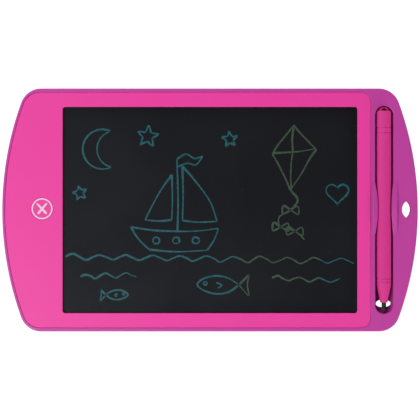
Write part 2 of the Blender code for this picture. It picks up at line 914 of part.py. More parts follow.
def make_board():
    """The circuit board and what is soldered to its upper side."""
    board = box(
        "circuit_board", (board_left, board_low_y, board_bottom), (board_right, board_high_y, board_top)
    )
    holes = cylinder_group(
        "board_screw_holes",
        board_screw_places,
        board_boss_hole_radius,
        board_bottom - cut_overrun,
        board_top + cut_overrun,
        small_hole_steps,
    )
    cut(board, holes)
    set_part(board, board_green)

    connector_x = board_right - connector_inset - connector_size.x / 2
    tail_y = button_from_middle - connector_from_button
    on_board_box("flex_connector", connector_x, tail_y, connector_size, black_plastic)
    make_chip(board_x - chip_size.x / 2, tail_y - chip_size.y)
    coil_y = cell_y + coil_radius
    make_coil(board_right - 2 * coil_radius, coil_y)
    for number in (1, 2):
        y = cell_y - 2 * number * capacitor_size.y
        on_board_box(f"capacitor_{number}", board_x - capacitor_size.x, y, capacitor_size, ceramic)

    for number, (x, y) in enumerate(board_screw_places, 1):
        head_low = board_top + thin_gap
        shank_low = floor_thickness + 2 * fit_gap
        profile = [
            (0, head_low + board_screw_head_height),
            (board_screw_head_radius, head_low + board_screw_head_height),
            (board_screw_head_radius, head_low),
            (board_screw_shank_radius, head_low),
            (board_screw_shank_radius, shank_low),
            (0, shank_low),
        ]
        screw = turned(f"board_screw_{number}", profile, (x, y, 0), small_hole_steps)
        head_top = head_low + board_screw_head_height
        cross_low = head_top - cross_recess_depth
        cut(screw, cross_cutter(f"board_cross_{number}", x, y, cross_low, head_top + cut_overrun))
        set_part(screw, steel)


def make_chip(x, y):
    """The driver chip with a row of leads down each side."""
    low = Vector((x, y, on_board)) - Vector((chip_size.x / 2, chip_size.y / 2, 0))
    chip = box("driver_chip", low, low + chip_size)
    leads = []
    pitch = chip_size.y / chip_leads_a_side
    half_lead = chip_lead_width / 2
    for side in (-1, 1):
        inner = x + side * (chip_size.x / 2 - chip_lead_reach / 2)
        outer = x + side * (chip_size.x / 2 + chip_lead_reach)
        for lead in range(chip_leads_a_side):
            lead_y = low.y + pitch * (lead + 1 / 2)
            lead_z = on_board + chip_size.z / 3
            leads.append(
                (
                    (min(inner, outer), lead_y - half_lead, lead_z - half_lead),
                    (max(inner, outer), lead_y + half_lead, lead_z + half_lead),
                )
            )
    join(chip, box_group("chip_leads", leads))
    return set_part(chip, black_plastic)


def make_coil(x, y):
    """The boost coil, a drum with two flanges."""
    profile = [
        (0, coil_height),
        (coil_radius, coil_height),
        (coil_radius, coil_height - coil_flange),
        (coil_waist_radius, coil_height - coil_flange),
        (coil_waist_radius, coil_flange),
        (coil_radius, coil_flange),
        (coil_radius, 0),
        (0, 0),
    ]
    return set_part(turned("boost_coil", profile, (x, y, on_board), round_piece_steps), copper)


def make_push_switch():
    """The push switch on the board and the plunger in its well, on the clearing button's axis."""
    half = switch_body_width / 2
    body = box(
        "switch_body",
        (button_x - half, button_from_middle - half, on_board),
        (button_x + half, button_from_middle + half, switch_top),
    )
    place = [(button_x, button_from_middle)]
    well_low = switch_top - switch_well_depth
    well_radius = plunger_radius + fit_gap
    cut(body, cylinder_group("plunger_well", place, well_radius, well_low, switch_top + cut_overrun))
    set_part(body, black_plastic)
    plunger_low = well_low + press_travel + plunger_well_gap
    height = plunger_top - plunger_low
    profile = [
        (0, height),
        (plunger_radius - small_edge, height),
        (plunger_radius, height - small_edge),
        (plunger_radius, 0),
        (0, 0),
    ]
    foot = (button_x, button_from_middle, plunger_low)
    set_part(turned("switch_plunger", profile, foot, round_piece_steps), black_plastic)


def make_button():
    """The clearing button: a cap flush with the bezel and a flange that keeps it in."""
    flange_radius = button_radius + fit_gap + button_flange_overlap
    height = case_height - button_bottom
    profile = [
        (0, height),
        (button_radius - button_edge_round, height),
        (button_radius, height - button_edge_round),
        (button_radius, button_flange_thickness),
        (flange_radius, button_flange_thickness),
        (flange_radius, 0),
        (0, 0),
    ]
    foot = (button_x, button_from_middle, button_bottom)
    return set_part(turned("erase_button", profile, foot, large_round_steps), pink)


def make_battery():
    """The coin cell, its two contacts, the battery door and the door's screw."""
    rim = cell_thickness - cell_cap_rise
    profile = [
        (0, cell_thickness),
        (cell_cap_radius, cell_thickness),
        (cell_cap_radius + cell_cap_rise, rim),
        (cell_radius - cell_cap_rise / 2, rim),
        (cell_radius, rim - cell_cap_rise / 2),
        (cell_radius, cell_cap_rise / 2),
        (cell_radius - cell_cap_rise / 2, 0),
        (0, 0),
    ]
    set_part(turned("coin_cell", profile, (board_x, cell_y, cell_bottom), large_round_steps), steel)

    half = negative_contact_length / 2
    wide = negative_contact_width / 2
    points = [
        (board_x - wide, cell_y - half),
        (board_x + wide, cell_y - half),
        (board_x + wide, cell_y),
        (board_x + wide / 2, cell_y + half),
        (board_x - wide / 2, cell_y + half),
        (board_x - wide, cell_y),
    ]
    strip_low = (cell_top + board_bottom - contact_thickness) / 2
    strip_high = strip_low + contact_thickness
    set_part(raise_outline("battery_contact_negative", points, strip_low, strip_high), steel)

    tab_x = board_x + cell_radius + thin_gap + contact_thickness / 2 + positive_contact_bow
    low_z = cell_bottom + thin_gap
    high_z = board_bottom - thin_gap
    path = [(tab_x, low_z), (tab_x - positive_contact_bow, (low_z + high_z) / 2), (tab_x, high_z)]
    tab = bent_strip("battery_contact_positive", path, cell_y, positive_contact_width, contact_thickness)
    set_part(tab, steel)
    make_battery_door()


def make_battery_door():
    """The battery door, recessed in the back, with its screw and three grip grooves."""
    low = back_recess
    outline = rounded_rectangle((0, 0), door_width, door_length, door_corner_radius)
    door = raise_outline("battery_door", outline, low, low + door_thickness, (board_x, door_y))
    place = [(board_x, door_screw_y)]
    seat = low + door_screw_head_height + fit_gap
    counterbore = cylinder_group(
        "door_counterbore", place, case_screw_head_radius + fit_gap, low - cut_overrun, seat
    )
    shank_hole = cylinder_group(
        "door_shank_hole",
        place,
        case_screw_shank_radius + fit_gap,
        low - cut_overrun,
        low + door_thickness + cut_overrun,
        small_hole_steps,
    )
    grooves = []
    groove_top_y = door_y + door_length / 2 - 2 * door_corner_radius
    for groove in range(door_grip_count):
        y = groove_top_y - 2 * groove * door_grip_width
        grooves.append(
            (
                (board_x - door_grip_length / 2, y - door_grip_width / 2, low - cut_overrun),
                (board_x + door_grip_length / 2, y + door_grip_width / 2, low + door_grip_depth),
            )
        )
    cut(door, counterbore, shank_hole, box_group("door_grip_grooves", grooves))
    set_part(door, purple)
    upward_screw(
        "battery_door_screw",
        board_x,
        door_screw_y,
        seat,
        case_screw_head_radius,
        door_screw_head_height,
        case_screw_shank_radius,
        well_top - 2 * fit_gap,
    )


def make_lock():
    """The lock switch under the board and the slider whose knob shows in the back."""
    body_low = floor_thickness + 2 * fit_gap + lock_flange_thickness
    body = box(
        "lock_switch_body",
        (board_x - lock_body_width / 2, lock_y - lock_body_length / 2, body_low),
        (board_x + lock_body_width / 2, lock_y + lock_body_length / 2, board_bottom - thin_gap),
    )
    half_pin = lock_pin_width / 2
    groove_half = half_pin + lock_travel / 2 + fit_gap
    groove = box(
        "lock_groove",
        (board_x - half_pin - fit_gap, lock_y - groove_half, body_low - cut_overrun),
        (board_x + half_pin + fit_gap, lock_y + groove_half, body_low + lock_groove_depth),
    )
    cut(body, groove)
    set_part(body, black_plastic)

    rest_y = lock_y - lock_travel / 2
    flange_low = floor_thickness + fit_gap
    flange_half_x = lock_knob_size.x / 2 + lock_flange_margin
    flange_half_y = lock_knob_size.y / 2 + lock_travel + lock_flange_margin
    slider = box(
        "lock_slider",
        (board_x - flange_half_x, rest_y - flange_half_y, flange_low),
        (board_x + flange_half_x, rest_y + flange_half_y, flange_low + lock_flange_thickness),
    )
    flange_middle = flange_low + lock_flange_thickness / 2
    knob = box(
        "lock_knob",
        (board_x - lock_knob_size.x / 2, rest_y - lock_knob_size.y / 2, back_recess),
        (board_x + lock_knob_size.x / 2, rest_y + lock_knob_size.y / 2, flange_middle),
    )
    pin = box(
        "lock_pin",
        (board_x - half_pin, rest_y - half_pin, flange_middle),
        (board_x + half_pin, rest_y + half_pin, flange_low + lock_flange_thickness + lock_pin_height),
    )
    join(slider, knob, pin)
    set_part(slider, black_plastic)


def make_stylus_axis():
    """The empty that carries the stylus: its own upright axis points to +Y, along the slot."""
    axis = bpy.data.objects.new("stylus_axis", None)
    axis.location = (slot_x, 0, stylus_z)
    axis.rotation_euler.x = -math.pi / 2
    tablet.objects.link(axis)
    return axis


def turned_stylus_piece(name, profile, axis, material, steps=stylus_steps, closed=False):
    """A piece of the stylus, turned round the axis that carries it."""
    piece = turned(name, profile, (0, 0, 0), steps, closed)
    piece.parent = axis
    return set_part(piece, material)


def sleeve(low, high):
    """The profile of a tube with chamfered outer edges, listed down its outside and up its bore."""
    edge = stylus_seam_chamfer
    return [
        (stylus_radius - edge, high),
        (stylus_radius, high - edge),
        (stylus_radius, low + edge),
        (stylus_radius - edge, low),
        (stylus_bore_radius, low),
        (stylus_bore_radius, high),
    ]


def make_stylus():
    """The stylus from its nib up: nib, cone, ring, barrel, collar and cap with its eyelet."""
    nib_low = slot_low_y + slot_nib_gap
    cone_low = nib_low + nib_exposed_length
    cone_high = cone_low + cone_length
    ring_low = cone_high + stylus_seam
    ring_high = ring_low + ring_length
    barrel_low = ring_high + stylus_seam
    cap_high = slot_high_y - slot_top_gap - eyelet_height
    cap_low = cap_high - cap_length
    collar_high = cap_low - stylus_seam
    collar_low = collar_high - collar_length
    barrel_high = collar_low - stylus_seam
    spigot_radius = stylus_bore_radius - fit_gap
    edge = stylus_seam_chamfer

    axis = make_stylus_axis()
    make_nib(axis, nib_low, cone_low)
    make_cone(axis, cone_low, cone_high, spigot_radius)
    for name, low, high in (
        ("stylus_ring", ring_low, ring_high),
        ("stylus_barrel", barrel_low, barrel_high),
        ("stylus_collar", collar_low, collar_high),
    ):
        turned_stylus_piece(name, sleeve(low, high), axis, stylus_pink, closed=True)

    cap_profile = [
        (0, cap_high),
        (cap_top_radius - cap_top_round / 2, cap_high),
        (cap_top_radius + cap_top_round / 2, cap_high - cap_top_round / 3),
        (stylus_radius, cap_high - 2 * cap_top_round),
        (stylus_radius, cap_low + edge),
        (stylus_radius - edge, cap_low),
        (spigot_radius, cap_low),
        (spigot_radius, cap_low - cap_spigot_length),
        (0, cap_low - cap_spigot_length),
    ]
    add_eyelet(turned_stylus_piece("stylus_cap", cap_profile, axis, stylus_pink), cap_high)


def make_nib(axis, nib_low, cone_low):
    """The nib, a pin with a round tip whose tail is held in the cone."""
    tip = [
        (nib_radius * math.sin(a), nib_low + nib_radius * (1 - math.cos(a)))
        for a in quarter_angles(slot_floor_steps)
    ]
    tail = cone_low + nib_held_length
    profile = [(0, tail), (nib_radius, tail), *reversed(tip)]
    turned_stylus_piece("stylus_nib", profile, axis, nib_black, round_piece_steps)


def make_cone(axis, cone_low, cone_high, spigot_radius):
    """The tapered grip end: a full curve from shoulder to tip, bored for the nib, with a spigot."""
    tip_round = (cone_end_radius - nib_radius - fit_gap) / 2
    outer = []
    for station in range(cone_stations + 1):
        share = station / cone_stations
        radius = cone_shoulder_radius - (cone_shoulder_radius - cone_end_radius) * share**cone_fullness
        outer.append((radius, cone_high - (cone_length - tip_round) * share))
    bore = nib_radius + fit_gap
    spigot_high = cone_high + cone_spigot_length
    profile = [
        (bore, spigot_high),
        (spigot_radius, spigot_high),
        (spigot_radius, cone_high),
        *outer,
        (cone_end_radius - tip_round, cone_low),
        (bore, cone_low),
    ]
    turned_stylus_piece("stylus_cone", profile, axis, stylus_pink, closed=True)


def add_eyelet(cap, cap_high):
    """The flat loop at the cap's end, for a cord."""
    sunk = cap_top_round
    low, high = stylus_z - eyelet_thickness / 2, stylus_z + eyelet_thickness / 2
    arch = [
        (slot_x + eyelet_width / 2 * math.cos(2 * a), cap_high + eyelet_height * math.sin(2 * a))
        for a in quarter_angles(slot_end_steps)
    ]
    right, left = slot_x + eyelet_width / 2, slot_x - eyelet_width / 2
    points = [(right, cap_high - sunk), *arch, (left, cap_high - sunk)]
    loop = raise_outline("eyelet_loop", points, low, high)
    hole_y = cap_high + eyelet_hole_from_cap
    hole = raise_outline(
        "eyelet_hole",
        ellipse((slot_x, hole_y), eyelet_hole_width, eyelet_hole_height, slot_end_steps),
        low - cut_overrun,
        high + cut_overrun,
    )
    join(cap, loop)
    cut(cap, hole)


make_shell()
make_bezel()
make_case_screws()
make_clip("pen_clip_left", -1, clip_left_root, clip_left_reach)
make_clip("pen_clip_right", 1, clip_right_root, clip_right_reach)
make_film_stack()
make_board()
make_push_switch()
make_button()
make_battery()
make_lock()
make_stylus()
bpy.context.view_layer.update()
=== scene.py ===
"""Looks of the LCD writing tablet: finished pieces, surfaces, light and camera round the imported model.

Metres, +Z up. The tablet lies on its back with its film facing up, and +X runs towards the stylus tray.
"""

import math
import random

import bmesh
import bpy
from mathutils import Matrix, Vector


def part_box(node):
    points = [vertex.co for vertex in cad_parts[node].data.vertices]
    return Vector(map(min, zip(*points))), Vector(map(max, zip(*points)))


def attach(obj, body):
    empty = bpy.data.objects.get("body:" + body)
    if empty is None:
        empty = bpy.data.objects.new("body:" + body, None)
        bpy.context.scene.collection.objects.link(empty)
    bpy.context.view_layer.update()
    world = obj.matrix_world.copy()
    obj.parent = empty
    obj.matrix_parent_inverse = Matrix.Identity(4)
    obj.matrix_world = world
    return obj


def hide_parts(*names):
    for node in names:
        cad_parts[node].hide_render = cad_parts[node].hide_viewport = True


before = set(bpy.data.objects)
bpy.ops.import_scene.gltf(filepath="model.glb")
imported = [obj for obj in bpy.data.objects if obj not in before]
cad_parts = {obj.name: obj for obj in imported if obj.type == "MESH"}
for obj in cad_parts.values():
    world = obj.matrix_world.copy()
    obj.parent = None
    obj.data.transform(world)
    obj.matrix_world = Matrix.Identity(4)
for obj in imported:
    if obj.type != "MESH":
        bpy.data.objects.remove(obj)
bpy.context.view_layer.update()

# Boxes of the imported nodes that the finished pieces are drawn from
shell_low, shell_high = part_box("back_shell")
bezel_low, bezel_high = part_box("front_bezel")
film_low, film_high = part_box("lcd_film")
button_low, button_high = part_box("erase_button")
board_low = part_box("circuit_board")[0]
door_low, door_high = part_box("battery_door")
case_screw_low, case_screw_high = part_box("case_screw_1")
cell_low, cell_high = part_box("coin_cell")
knob_low, knob_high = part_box("lock_slider")
nib_low, nib_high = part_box("stylus_nib")
cone_low, cone_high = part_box("stylus_cone")
ring_low, ring_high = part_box("stylus_ring")
barrel_low, barrel_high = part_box("stylus_barrel")
collar_low, collar_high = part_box("stylus_collar")
cap_low, cap_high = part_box("stylus_cap")


def middle(node):
    """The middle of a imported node's box, seen from above."""
    low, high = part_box(node)
    return ((low.x + high.x) / 2, (low.y + high.y) / 2)


# How finely curves are drawn
bow_steps = 48
corner_steps = 12
edge_steps = 5
taper_steps = 10
turn_steps = 96
small_turn_steps = 40
crease_angle = math.radians(30)

# Clearances
fit_gap = 0.0003
hairline = 0.00004
cut_overrun = 0.002
flare_lift = 0.00002

# Case
case_length = shell_high.x - shell_low.x
case_width = shell_high.y - shell_low.y
case_height = shell_high.z
end_bow_radius = 0.2213
case_corner_radius = 0.015
floor_thickness = 0.0012
rim_round = 0.0012
underside_taper_width = 0.009
underside_taper_rise = 0.003
rib_thickness = 0.001
ribs_across = 4
ribs_along = 3
rib_top = 0.005
post_radius = 0.0032
boss_radius = 0.0024
boss_hole_radius = 0.0011
well_wall = 0.002
well_top = board_low.z - fit_gap
cell_clearance = 0.001

# Bezel
bezel_right = bezel_high.x
bezel_end_inset = bezel_low.x - shell_low.x
bezel_side_inset = shell_high.y - bezel_high.y
bezel_left_corner_radius = 0.0125
bezel_right_corner_radius = 0.007
bezel_plate_thickness = 0.0016
bezel_edge_round = 0.0003
bezel_groove = 0.0002
seat_lip_width = 0.0006
seat_lip_depth = 0.0003
bezel_skirt_thickness = 0.0012
bezel_underside = bezel_high.z - bezel_plate_thickness
bezel_boss_radius = 0.0025
bezel_boss_hole_radius = 0.0013
bezel_boss_hole_depth = 0.0029
ledge_width = 0.004
ledge_height = bezel_low.z - fit_gap
post_top = ledge_height - fit_gap

# Screen window
film_overlap = 0.003
window_x = middle("lcd_film")[0]
window_length = film_high.x - film_low.x - 2 * film_overlap
window_width = film_high.y - film_low.y - 2 * film_overlap
window_corner_radius = 0.0019
window_edge_round = 0.00035

# Clearing button and the symbol printed on it
button_x, button_y = middle("erase_button")
button_radius = 0.00795
button_hole_radius = 0.00805
button_edge_round = 0.0001
button_flange_thickness = 0.0008
print_thickness = 0.00002
symbol_radius = 0.0074
symbol_line = 0.00095
cross_strokes = (((-0.0033, 0.0034), (0.00265, -0.0029)), ((0.003, 0.0034), (-0.0025, -0.0031)))
cross_top_line = 0.0012
cross_foot_line = 0.0017

# Stylus slot, its clips and the holes in the tray
slot_x = middle("stylus_barrel")[0]
channel_radius = 0.00635
slot_floor_thickness = 0.001
slot_floor_reach_share = 0.96
slot_end_margin = 0.0124
slot_edge_round = 0.0005
slot_end_steps = 24
slot_half_length = case_width / 2 - slot_end_margin
channel_z = slot_floor_thickness + channel_radius
push_hole_length = 0.011
push_hole_width = 0.0055
push_hole_from_end = 0.007
lanyard_hole_from_end = 0.00815
lanyard_hole_from_middle = 0.0003
lanyard_hole_length = 0.0118
lanyard_hole_width = 0.0063
lanyard_edge_round = 0.0003
lanyard_draft = 0.0005
clip_depth = 0.0017
clip_rise = 0.0015
clip_edge_round = 0.0007
clip_end_round = 0.0003
clip_lean = 0.00025
clip_stations = 60

# Stylus
stylus_radius = (barrel_high.x - barrel_low.x) / 2
stylus_z = (barrel_low.z + barrel_high.z) / 2
stylus_bore_radius = 0.0036
packed_seam = barrel_low.y - ring_high.y
stylus_seam = 0.00007
seam_edge_round = 0.00009
seam_slope_length = 0.0007
seam_slope_depth = 0.00024
nib_clearance = 0.0001
nib_radius = 0.00158
nib_tip_round = 0.0008
cone_end_radius = 0.00265
cone_end_round = 0.0004
cone_fullness = 1.3
cone_stations = 28
eyelet_height = 0.0028
cap_top_round = 0.0006
cap_room_clearance = 0.00025
cap_end_y = cap_high.y - eyelet_height
eyelet_width = 0.0076
eyelet_thickness = 0.0042
eyelet_edge_round = 0.0005
eyelet_hole_width = 0.0032
eyelet_hole_height = 0.0015
eyelet_hole_from_cap = 0.00095

# Back: battery door, screws and lock slider
back_recess = door_low.z
door_corner_radius = 0.002
door_edge_round = 0.00025
door_x, door_y = middle("battery_door")
door_grip_length = 0.008
door_grip_width = 0.0008
door_grip_depth = 0.0004
door_grip_count = 3
door_grip_corner_share = 0.9
door_grip_rim_share = 0.2
door_grip_floor_share = -0.3
door_screw_y = middle("battery_door_screw")[1]
case_screws = [middle(f"case_screw_{number}") for number in range(1, 9)]
board_screws = [middle(f"board_screw_{number}") for number in (1, 2)]
case_screw_head_radius = (case_screw_high.x - case_screw_low.x) / 2
case_screw_head_height = 0.0012
case_screw_shank_radius = 0.001
board_screw_head_height = 0.001
door_screw_head_height = 0.0005
screw_head_round = 0.0003
screw_point_share = 0.5
screw_thread_pitch = 0.0007
screw_thread_depth = 0.00018
cross_recess_depth = 0.0004
cross_recess_width = 0.0005
cross_recess_reach = 0.0012
cross_recess_end_share = 0.7
lock_travel = 0.002
lock_x, lock_rest_y = middle("lock_slider")
lock_flange_thickness = 0.0008
lock_pin_width = 0.001
lock_pin_corner_radius = 0.0001
knob_size = Vector((0.0026, 0.0034))
knob_edge_round = 0.0003
knob_edge_share = 0.9
knob_groove_spacing = 0.0009
knob_groove_width = 0.0003
knob_groove_depth = 0.0003


def arc(centre, radius, start, end, steps):
    """Points on an arc between two angles, both ends included."""
    angles = [start + (end - start) * step / steps for step in range(steps + 1)]
    return [(centre[0] + radius * math.cos(a), centre[1] + radius * math.sin(a)) for a in angles]


def bowed_end(half_length, half_width, bow_radius, fillet):
    """A bowed right-hand end with rounded corners, from its lower side to its upper side."""
    reach = math.sqrt((bow_radius - fillet) ** 2 - (half_width - fillet) ** 2)
    bow_centre_x = half_length - bow_radius
    turn = math.atan2(half_width - fillet, reach)
    fillet_x = bow_centre_x + reach
    lower = arc((fillet_x, fillet - half_width), fillet, -math.pi / 2, -turn, corner_steps)
    bow = arc((bow_centre_x, 0), bow_radius, -turn, turn, bow_steps)
    upper = arc((fillet_x, half_width - fillet), fillet, turn, math.pi / 2, corner_steps)
    return lower + bow[1:-1] + upper


def case_outline(grow):
    """The case seen from above, grown outwards."""
    right = bowed_end(
        case_length / 2 + grow, case_width / 2 + grow, end_bow_radius + grow, case_corner_radius + grow
    )
    return right + [(-x, -y) for x, y in right]


def bezel_outline(grow):
    """The bezel's edge, grown outwards: bowed on the left, straight with round corners on the right."""
    half_width = case_width / 2 - bezel_side_inset + grow
    left = bowed_end(
        case_length / 2 - bezel_end_inset + grow,
        half_width,
        end_bow_radius - bezel_end_inset + grow,
        bezel_left_corner_radius + grow,
    )
    radius = bezel_right_corner_radius + grow
    corner_x = bezel_right + grow - radius
    lower = arc((corner_x, radius - half_width), radius, -math.pi / 2, 0, corner_steps)
    upper = arc((corner_x, half_width - radius), radius, 0, math.pi / 2, corner_steps)
    return lower + upper + [(-x, -y) for x, y in left]


def rounded_rectangle(centre, length, width, radius):
    """An outline maker for a rectangle with round corners."""

    def outline(grow):
        points = []
        for quarter, (side_x, side_y) in enumerate(((1, 1), (-1, 1), (-1, -1), (1, -1))):
            corner = (
                centre[0] + side_x * (length / 2 - radius),
                centre[1] + side_y * (width / 2 - radius),
            )
            start = quarter * math.pi / 2
            points += arc(corner, radius + grow, start, start + math.pi / 2, corner_steps)
        return points

    return outline


def slot_outline(grow):
    """The stylus slot seen from above, with round ends."""
    reach = slot_half_length - channel_radius
    upper = arc((slot_x, reach), channel_radius + grow, 0, math.pi, slot_end_steps)
    lower = arc((slot_x, -reach), channel_radius + grow, math.pi, 2 * math.pi, slot_end_steps)
    return upper + lower


def door_outline(grow):
    """The battery door seen from above, grown outwards."""
    length, width = door_high.x - door_low.x, door_high.y - door_low.y
    return rounded_rectangle((door_x, door_y), length, width, door_corner_radius)(grow)


def ellipse(centre, length, width, steps=small_turn_steps):
    """An outline maker for an ellipse."""

    def outline(grow):
        angles = [2 * math.pi * step / steps for step in range(steps)]
        reach_x, reach_y = length / 2 + grow, width / 2 + grow
        return [(centre[0] + reach_x * math.cos(a), centre[1] + reach_y * math.sin(a)) for a in angles]

    return outline


def circle(centre, radius, steps=small_turn_steps):
    return ellipse(centre, 2 * radius, 2 * radius, steps)


def circles(places, radius):
    return [circle(place, radius) for place in places]


def lens(centre, width, length):
    """An outline maker for a pointed oval standing along Y, made of two arcs."""
    bow = ((length / 2) ** 2 + (width / 2) ** 2) / width

    def outline(grow):
        reach = bow + grow
        turn = math.acos((bow - width / 2) / reach)
        right_centre = (centre[0] + width / 2 - bow, centre[1])
        left_centre = (centre[0] - width / 2 + bow, centre[1])
        right = arc(right_centre, reach, -turn, turn, corner_steps)
        left = arc(left_centre, reach, math.pi - turn, math.pi + turn, corner_steps)
        return right[:-1] + left[:-1]

    return outline


def quarter_angles(count):
    return [math.pi / 2 * step / count for step in range(count + 1)]


def round_over(wall, flat, steps=edge_steps):
    """Points from the end of an upright wall round an edge to a flat face, as pairs of reach and height."""
    return [
        (
            flat[0] + (wall[0] - flat[0]) * math.cos(a),
            wall[1] + (flat[1] - wall[1]) * math.sin(a),
        )
        for a in quarter_angles(steps)
    ]


def upright(bottom, top, reach=0):
    """Levels of a wall that stands upright between two heights."""
    return [(reach, bottom), (reach, top)]


def rounded_top(top, edge, reach=0):
    """Levels where a wall's upper edge is rounded inwards."""
    return round_over((reach, top - edge), (reach - edge, top))


def rounded_foot(bottom, edge, reach=0):
    """Levels where a wall's lower edge is rounded inwards."""
    return round_over((reach, bottom + edge), (reach - edge, bottom))[::-1]


def flare(brim, edge, above):
    """Levels where a hole's upper edge is rounded outwards and then runs on past the surface."""
    return round_over((0, brim - edge), (edge, brim)) + [(edge, above)]


def rear_recess(top):
    """Levels of a recess in the back that clears its piece all round and has a rounded rim."""
    rim = (2 * fit_gap, -flare_lift)
    return [(rim[0], -cut_overrun), rim, *round_over((fit_gap, fit_gap), rim)[::-1][1:], (fit_gap, top)]


def new_piece(name, bm):
    """An object that holds a bmesh, with its faces turned outwards."""
    bmesh.ops.recalc_face_normals(bm, faces=bm.faces)
    mesh = bpy.data.meshes.new(name)
    bm.to_mesh(mesh)
    bm.free()
    piece = bpy.data.objects.new(name, mesh)
    bpy.context.scene.collection.objects.link(piece)
    return piece


def add_skin(bm, rings, closed=False):
    """Faces through rings of points, capped at both ends or joined where the rings come round."""
    rows = [[bm.verts.new(point) for point in ring] for ring in rings]
    pairs = list(zip(rows, rows[1:]))
    if closed:
        pairs.append((rows[-1], rows[0]))
    else:
        bm.faces.new(rows[0])
        bm.faces.new(rows[-1])
    for row, beyond in pairs:
        for index, vert in enumerate(row):
            bm.faces.new((row[index - 1], vert, beyond[index], beyond[index - 1]))


def stacked(name, levels, *outlines):
    """Solids in one object, with their outlines drawn at each level, a pair of growth and height."""
    bm = bmesh.new()
    for outline in outlines:
        add_skin(bm, [[(x, y, z) for x, y in outline(grow)] for grow, z in levels])
    return new_piece(name, bm)


def box_group(name, boxes):
    """Several separate boxes, each between two corners, in one object."""
    bm = bmesh.new()
    for low, high in boxes:
        low, high = Vector(low), Vector(high)
        matrix = Matrix.Translation((low + high) / 2) @ Matrix.Diagonal((*(high - low), 1))
        bmesh.ops.create_cube(bm, size=1, matrix=matrix)
    return new_piece(name, bm)


def turned(name, profile, place, steps=turn_steps, along_y=False, closed=False):
    """A profile of radius and height, turned round an upright axis or one along Y."""
    angles = [2 * math.pi * step / steps for step in range(steps)]
    rings = []
    for radius, height in profile:
        ring = [(place[0] + radius * math.cos(a), place[1] + radius * math.sin(a)) for a in angles]
        rings.append([(u, height, v) if along_y else (u, v, height) for u, v in ring])
    bm = bmesh.new()
    add_skin(bm, rings, closed)
    return new_piece(name, bm)


def turned_in_slot(name, profile, steps=turn_steps, closed=False):
    """A profile of radius and place along Y, turned round the stylus's own axis."""
    return turned(name, profile, (slot_x, stylus_z), steps, along_y=True, closed=closed)


def shape(piece, cuts=(), joins=()):
    """Join solids to a piece, then cut others from it, and remove them."""
    steps = [(tool, "UNION") for tool in joins] + [(tool, "DIFFERENCE") for tool in cuts]
    for tool, operation in steps:
        modifier = piece.modifiers.new(tool.name, "BOOLEAN")
        modifier.operation = operation
        modifier.solver = "EXACT"
        modifier.object = tool
    shaped = bpy.data.meshes.new_from_object(piece.evaluated_get(bpy.context.evaluated_depsgraph_get()))
    shaped.name = piece.name
    piece.modifiers.clear()
    piece.data = shaped
    for tool in (*joins, *cuts):
        bpy.data.objects.remove(tool)
    return piece


def finish(piece, material, slot, body, *nodes):
    """Shade a piece, dress it in its material, set it on its body and let it stand for its nodes."""
    piece.data.materials.clear()
    piece.data.materials.append(material)
    piece.data.shade_smooth()
    piece.data.set_sharp_from_angle(angle=crease_angle)
    weighted = piece.modifiers.new("even_shading", "WEIGHTED_NORMAL")
    weighted.keep_sharp = True
    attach(piece, body)
    if nodes:
        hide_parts(*nodes)


# Shader nodes

gloss_spread = 0.05

# Stretches along X in which the drawn lines turn green, and then teal again
green_starts = (0.0165, 0.0225)
green_ends = (0.073, 0.079)


def feed(tree, value, socket):
    """Set an input to a constant, a colour without its alpha, or link another node's output to it."""
    if isinstance(value, bpy.types.NodeSocket):
        tree.links.new(value, socket)
    elif socket.type == "RGBA":
        socket.default_value = (*value, 1)
    else:
        socket.default_value = value


def add(tree, kind, inputs=None, **settings):
    """A new shader node with its settings, and its inputs by name or number."""
    node = tree.nodes.new("ShaderNode" + kind)
    for name, value in settings.items():
        setattr(node, name, value)
    for key, value in (inputs or {}).items():
        feed(tree, value, node.inputs[key])
    return node


def mix_colours(tree, mask, plain, marked):
    return add(tree, "Mix", {0: mask, 6: plain, 7: marked}, data_type="RGBA").outputs[2]


def mapped(tree, value, low, high, to_low, to_high):
    """A value brought from one range to another, held within it."""
    node = add(
        tree,
        "MapRange",
        {"Value": value, "From Min": low, "From Max": high, "To Min": to_low, "To Max": to_high},
    )
    return node.outputs[0]


def calculated(tree, operation, *values):
    node = add(tree, "Math", dict(enumerate(values)), operation=operation)
    return node.outputs[0]


def noise(tree, place, scale, detail, distortion=0.0):
    inputs = {"Vector": place, "Scale": scale, "Detail": detail, "Distortion": distortion}
    return add(tree, "TexNoise", inputs).outputs[0]


def stretched(tree, place, scale, rotation=(0.0, 0.0, 0.0)):
    return add(tree, "Mapping", {"Vector": place, "Rotation": rotation, "Scale": scale}).outputs[0]


def bands(tree, place, scale, direction):
    node = add(tree, "TexWave", {"Vector": place, "Scale": scale}, bands_direction=direction)
    return node.outputs[1]


def new_group(name, values, outputs):
    """An empty node group that takes a place and named values, and the two ends to link them."""
    group = bpy.data.node_groups.new(name, "ShaderNodeTree")
    group.interface.new_socket("Place", in_out="INPUT", socket_type="NodeSocketVector")
    for label, value in values.items():
        socket = group.interface.new_socket(label, in_out="INPUT", socket_type="NodeSocketFloat")
        socket.default_value = value
    for label in outputs:
        group.interface.new_socket(label, in_out="OUTPUT", socket_type="NodeSocketFloat")
    start = group.nodes.new("NodeGroupInput").outputs
    end = group.nodes.new("NodeGroupOutput").inputs
    return group, start, end


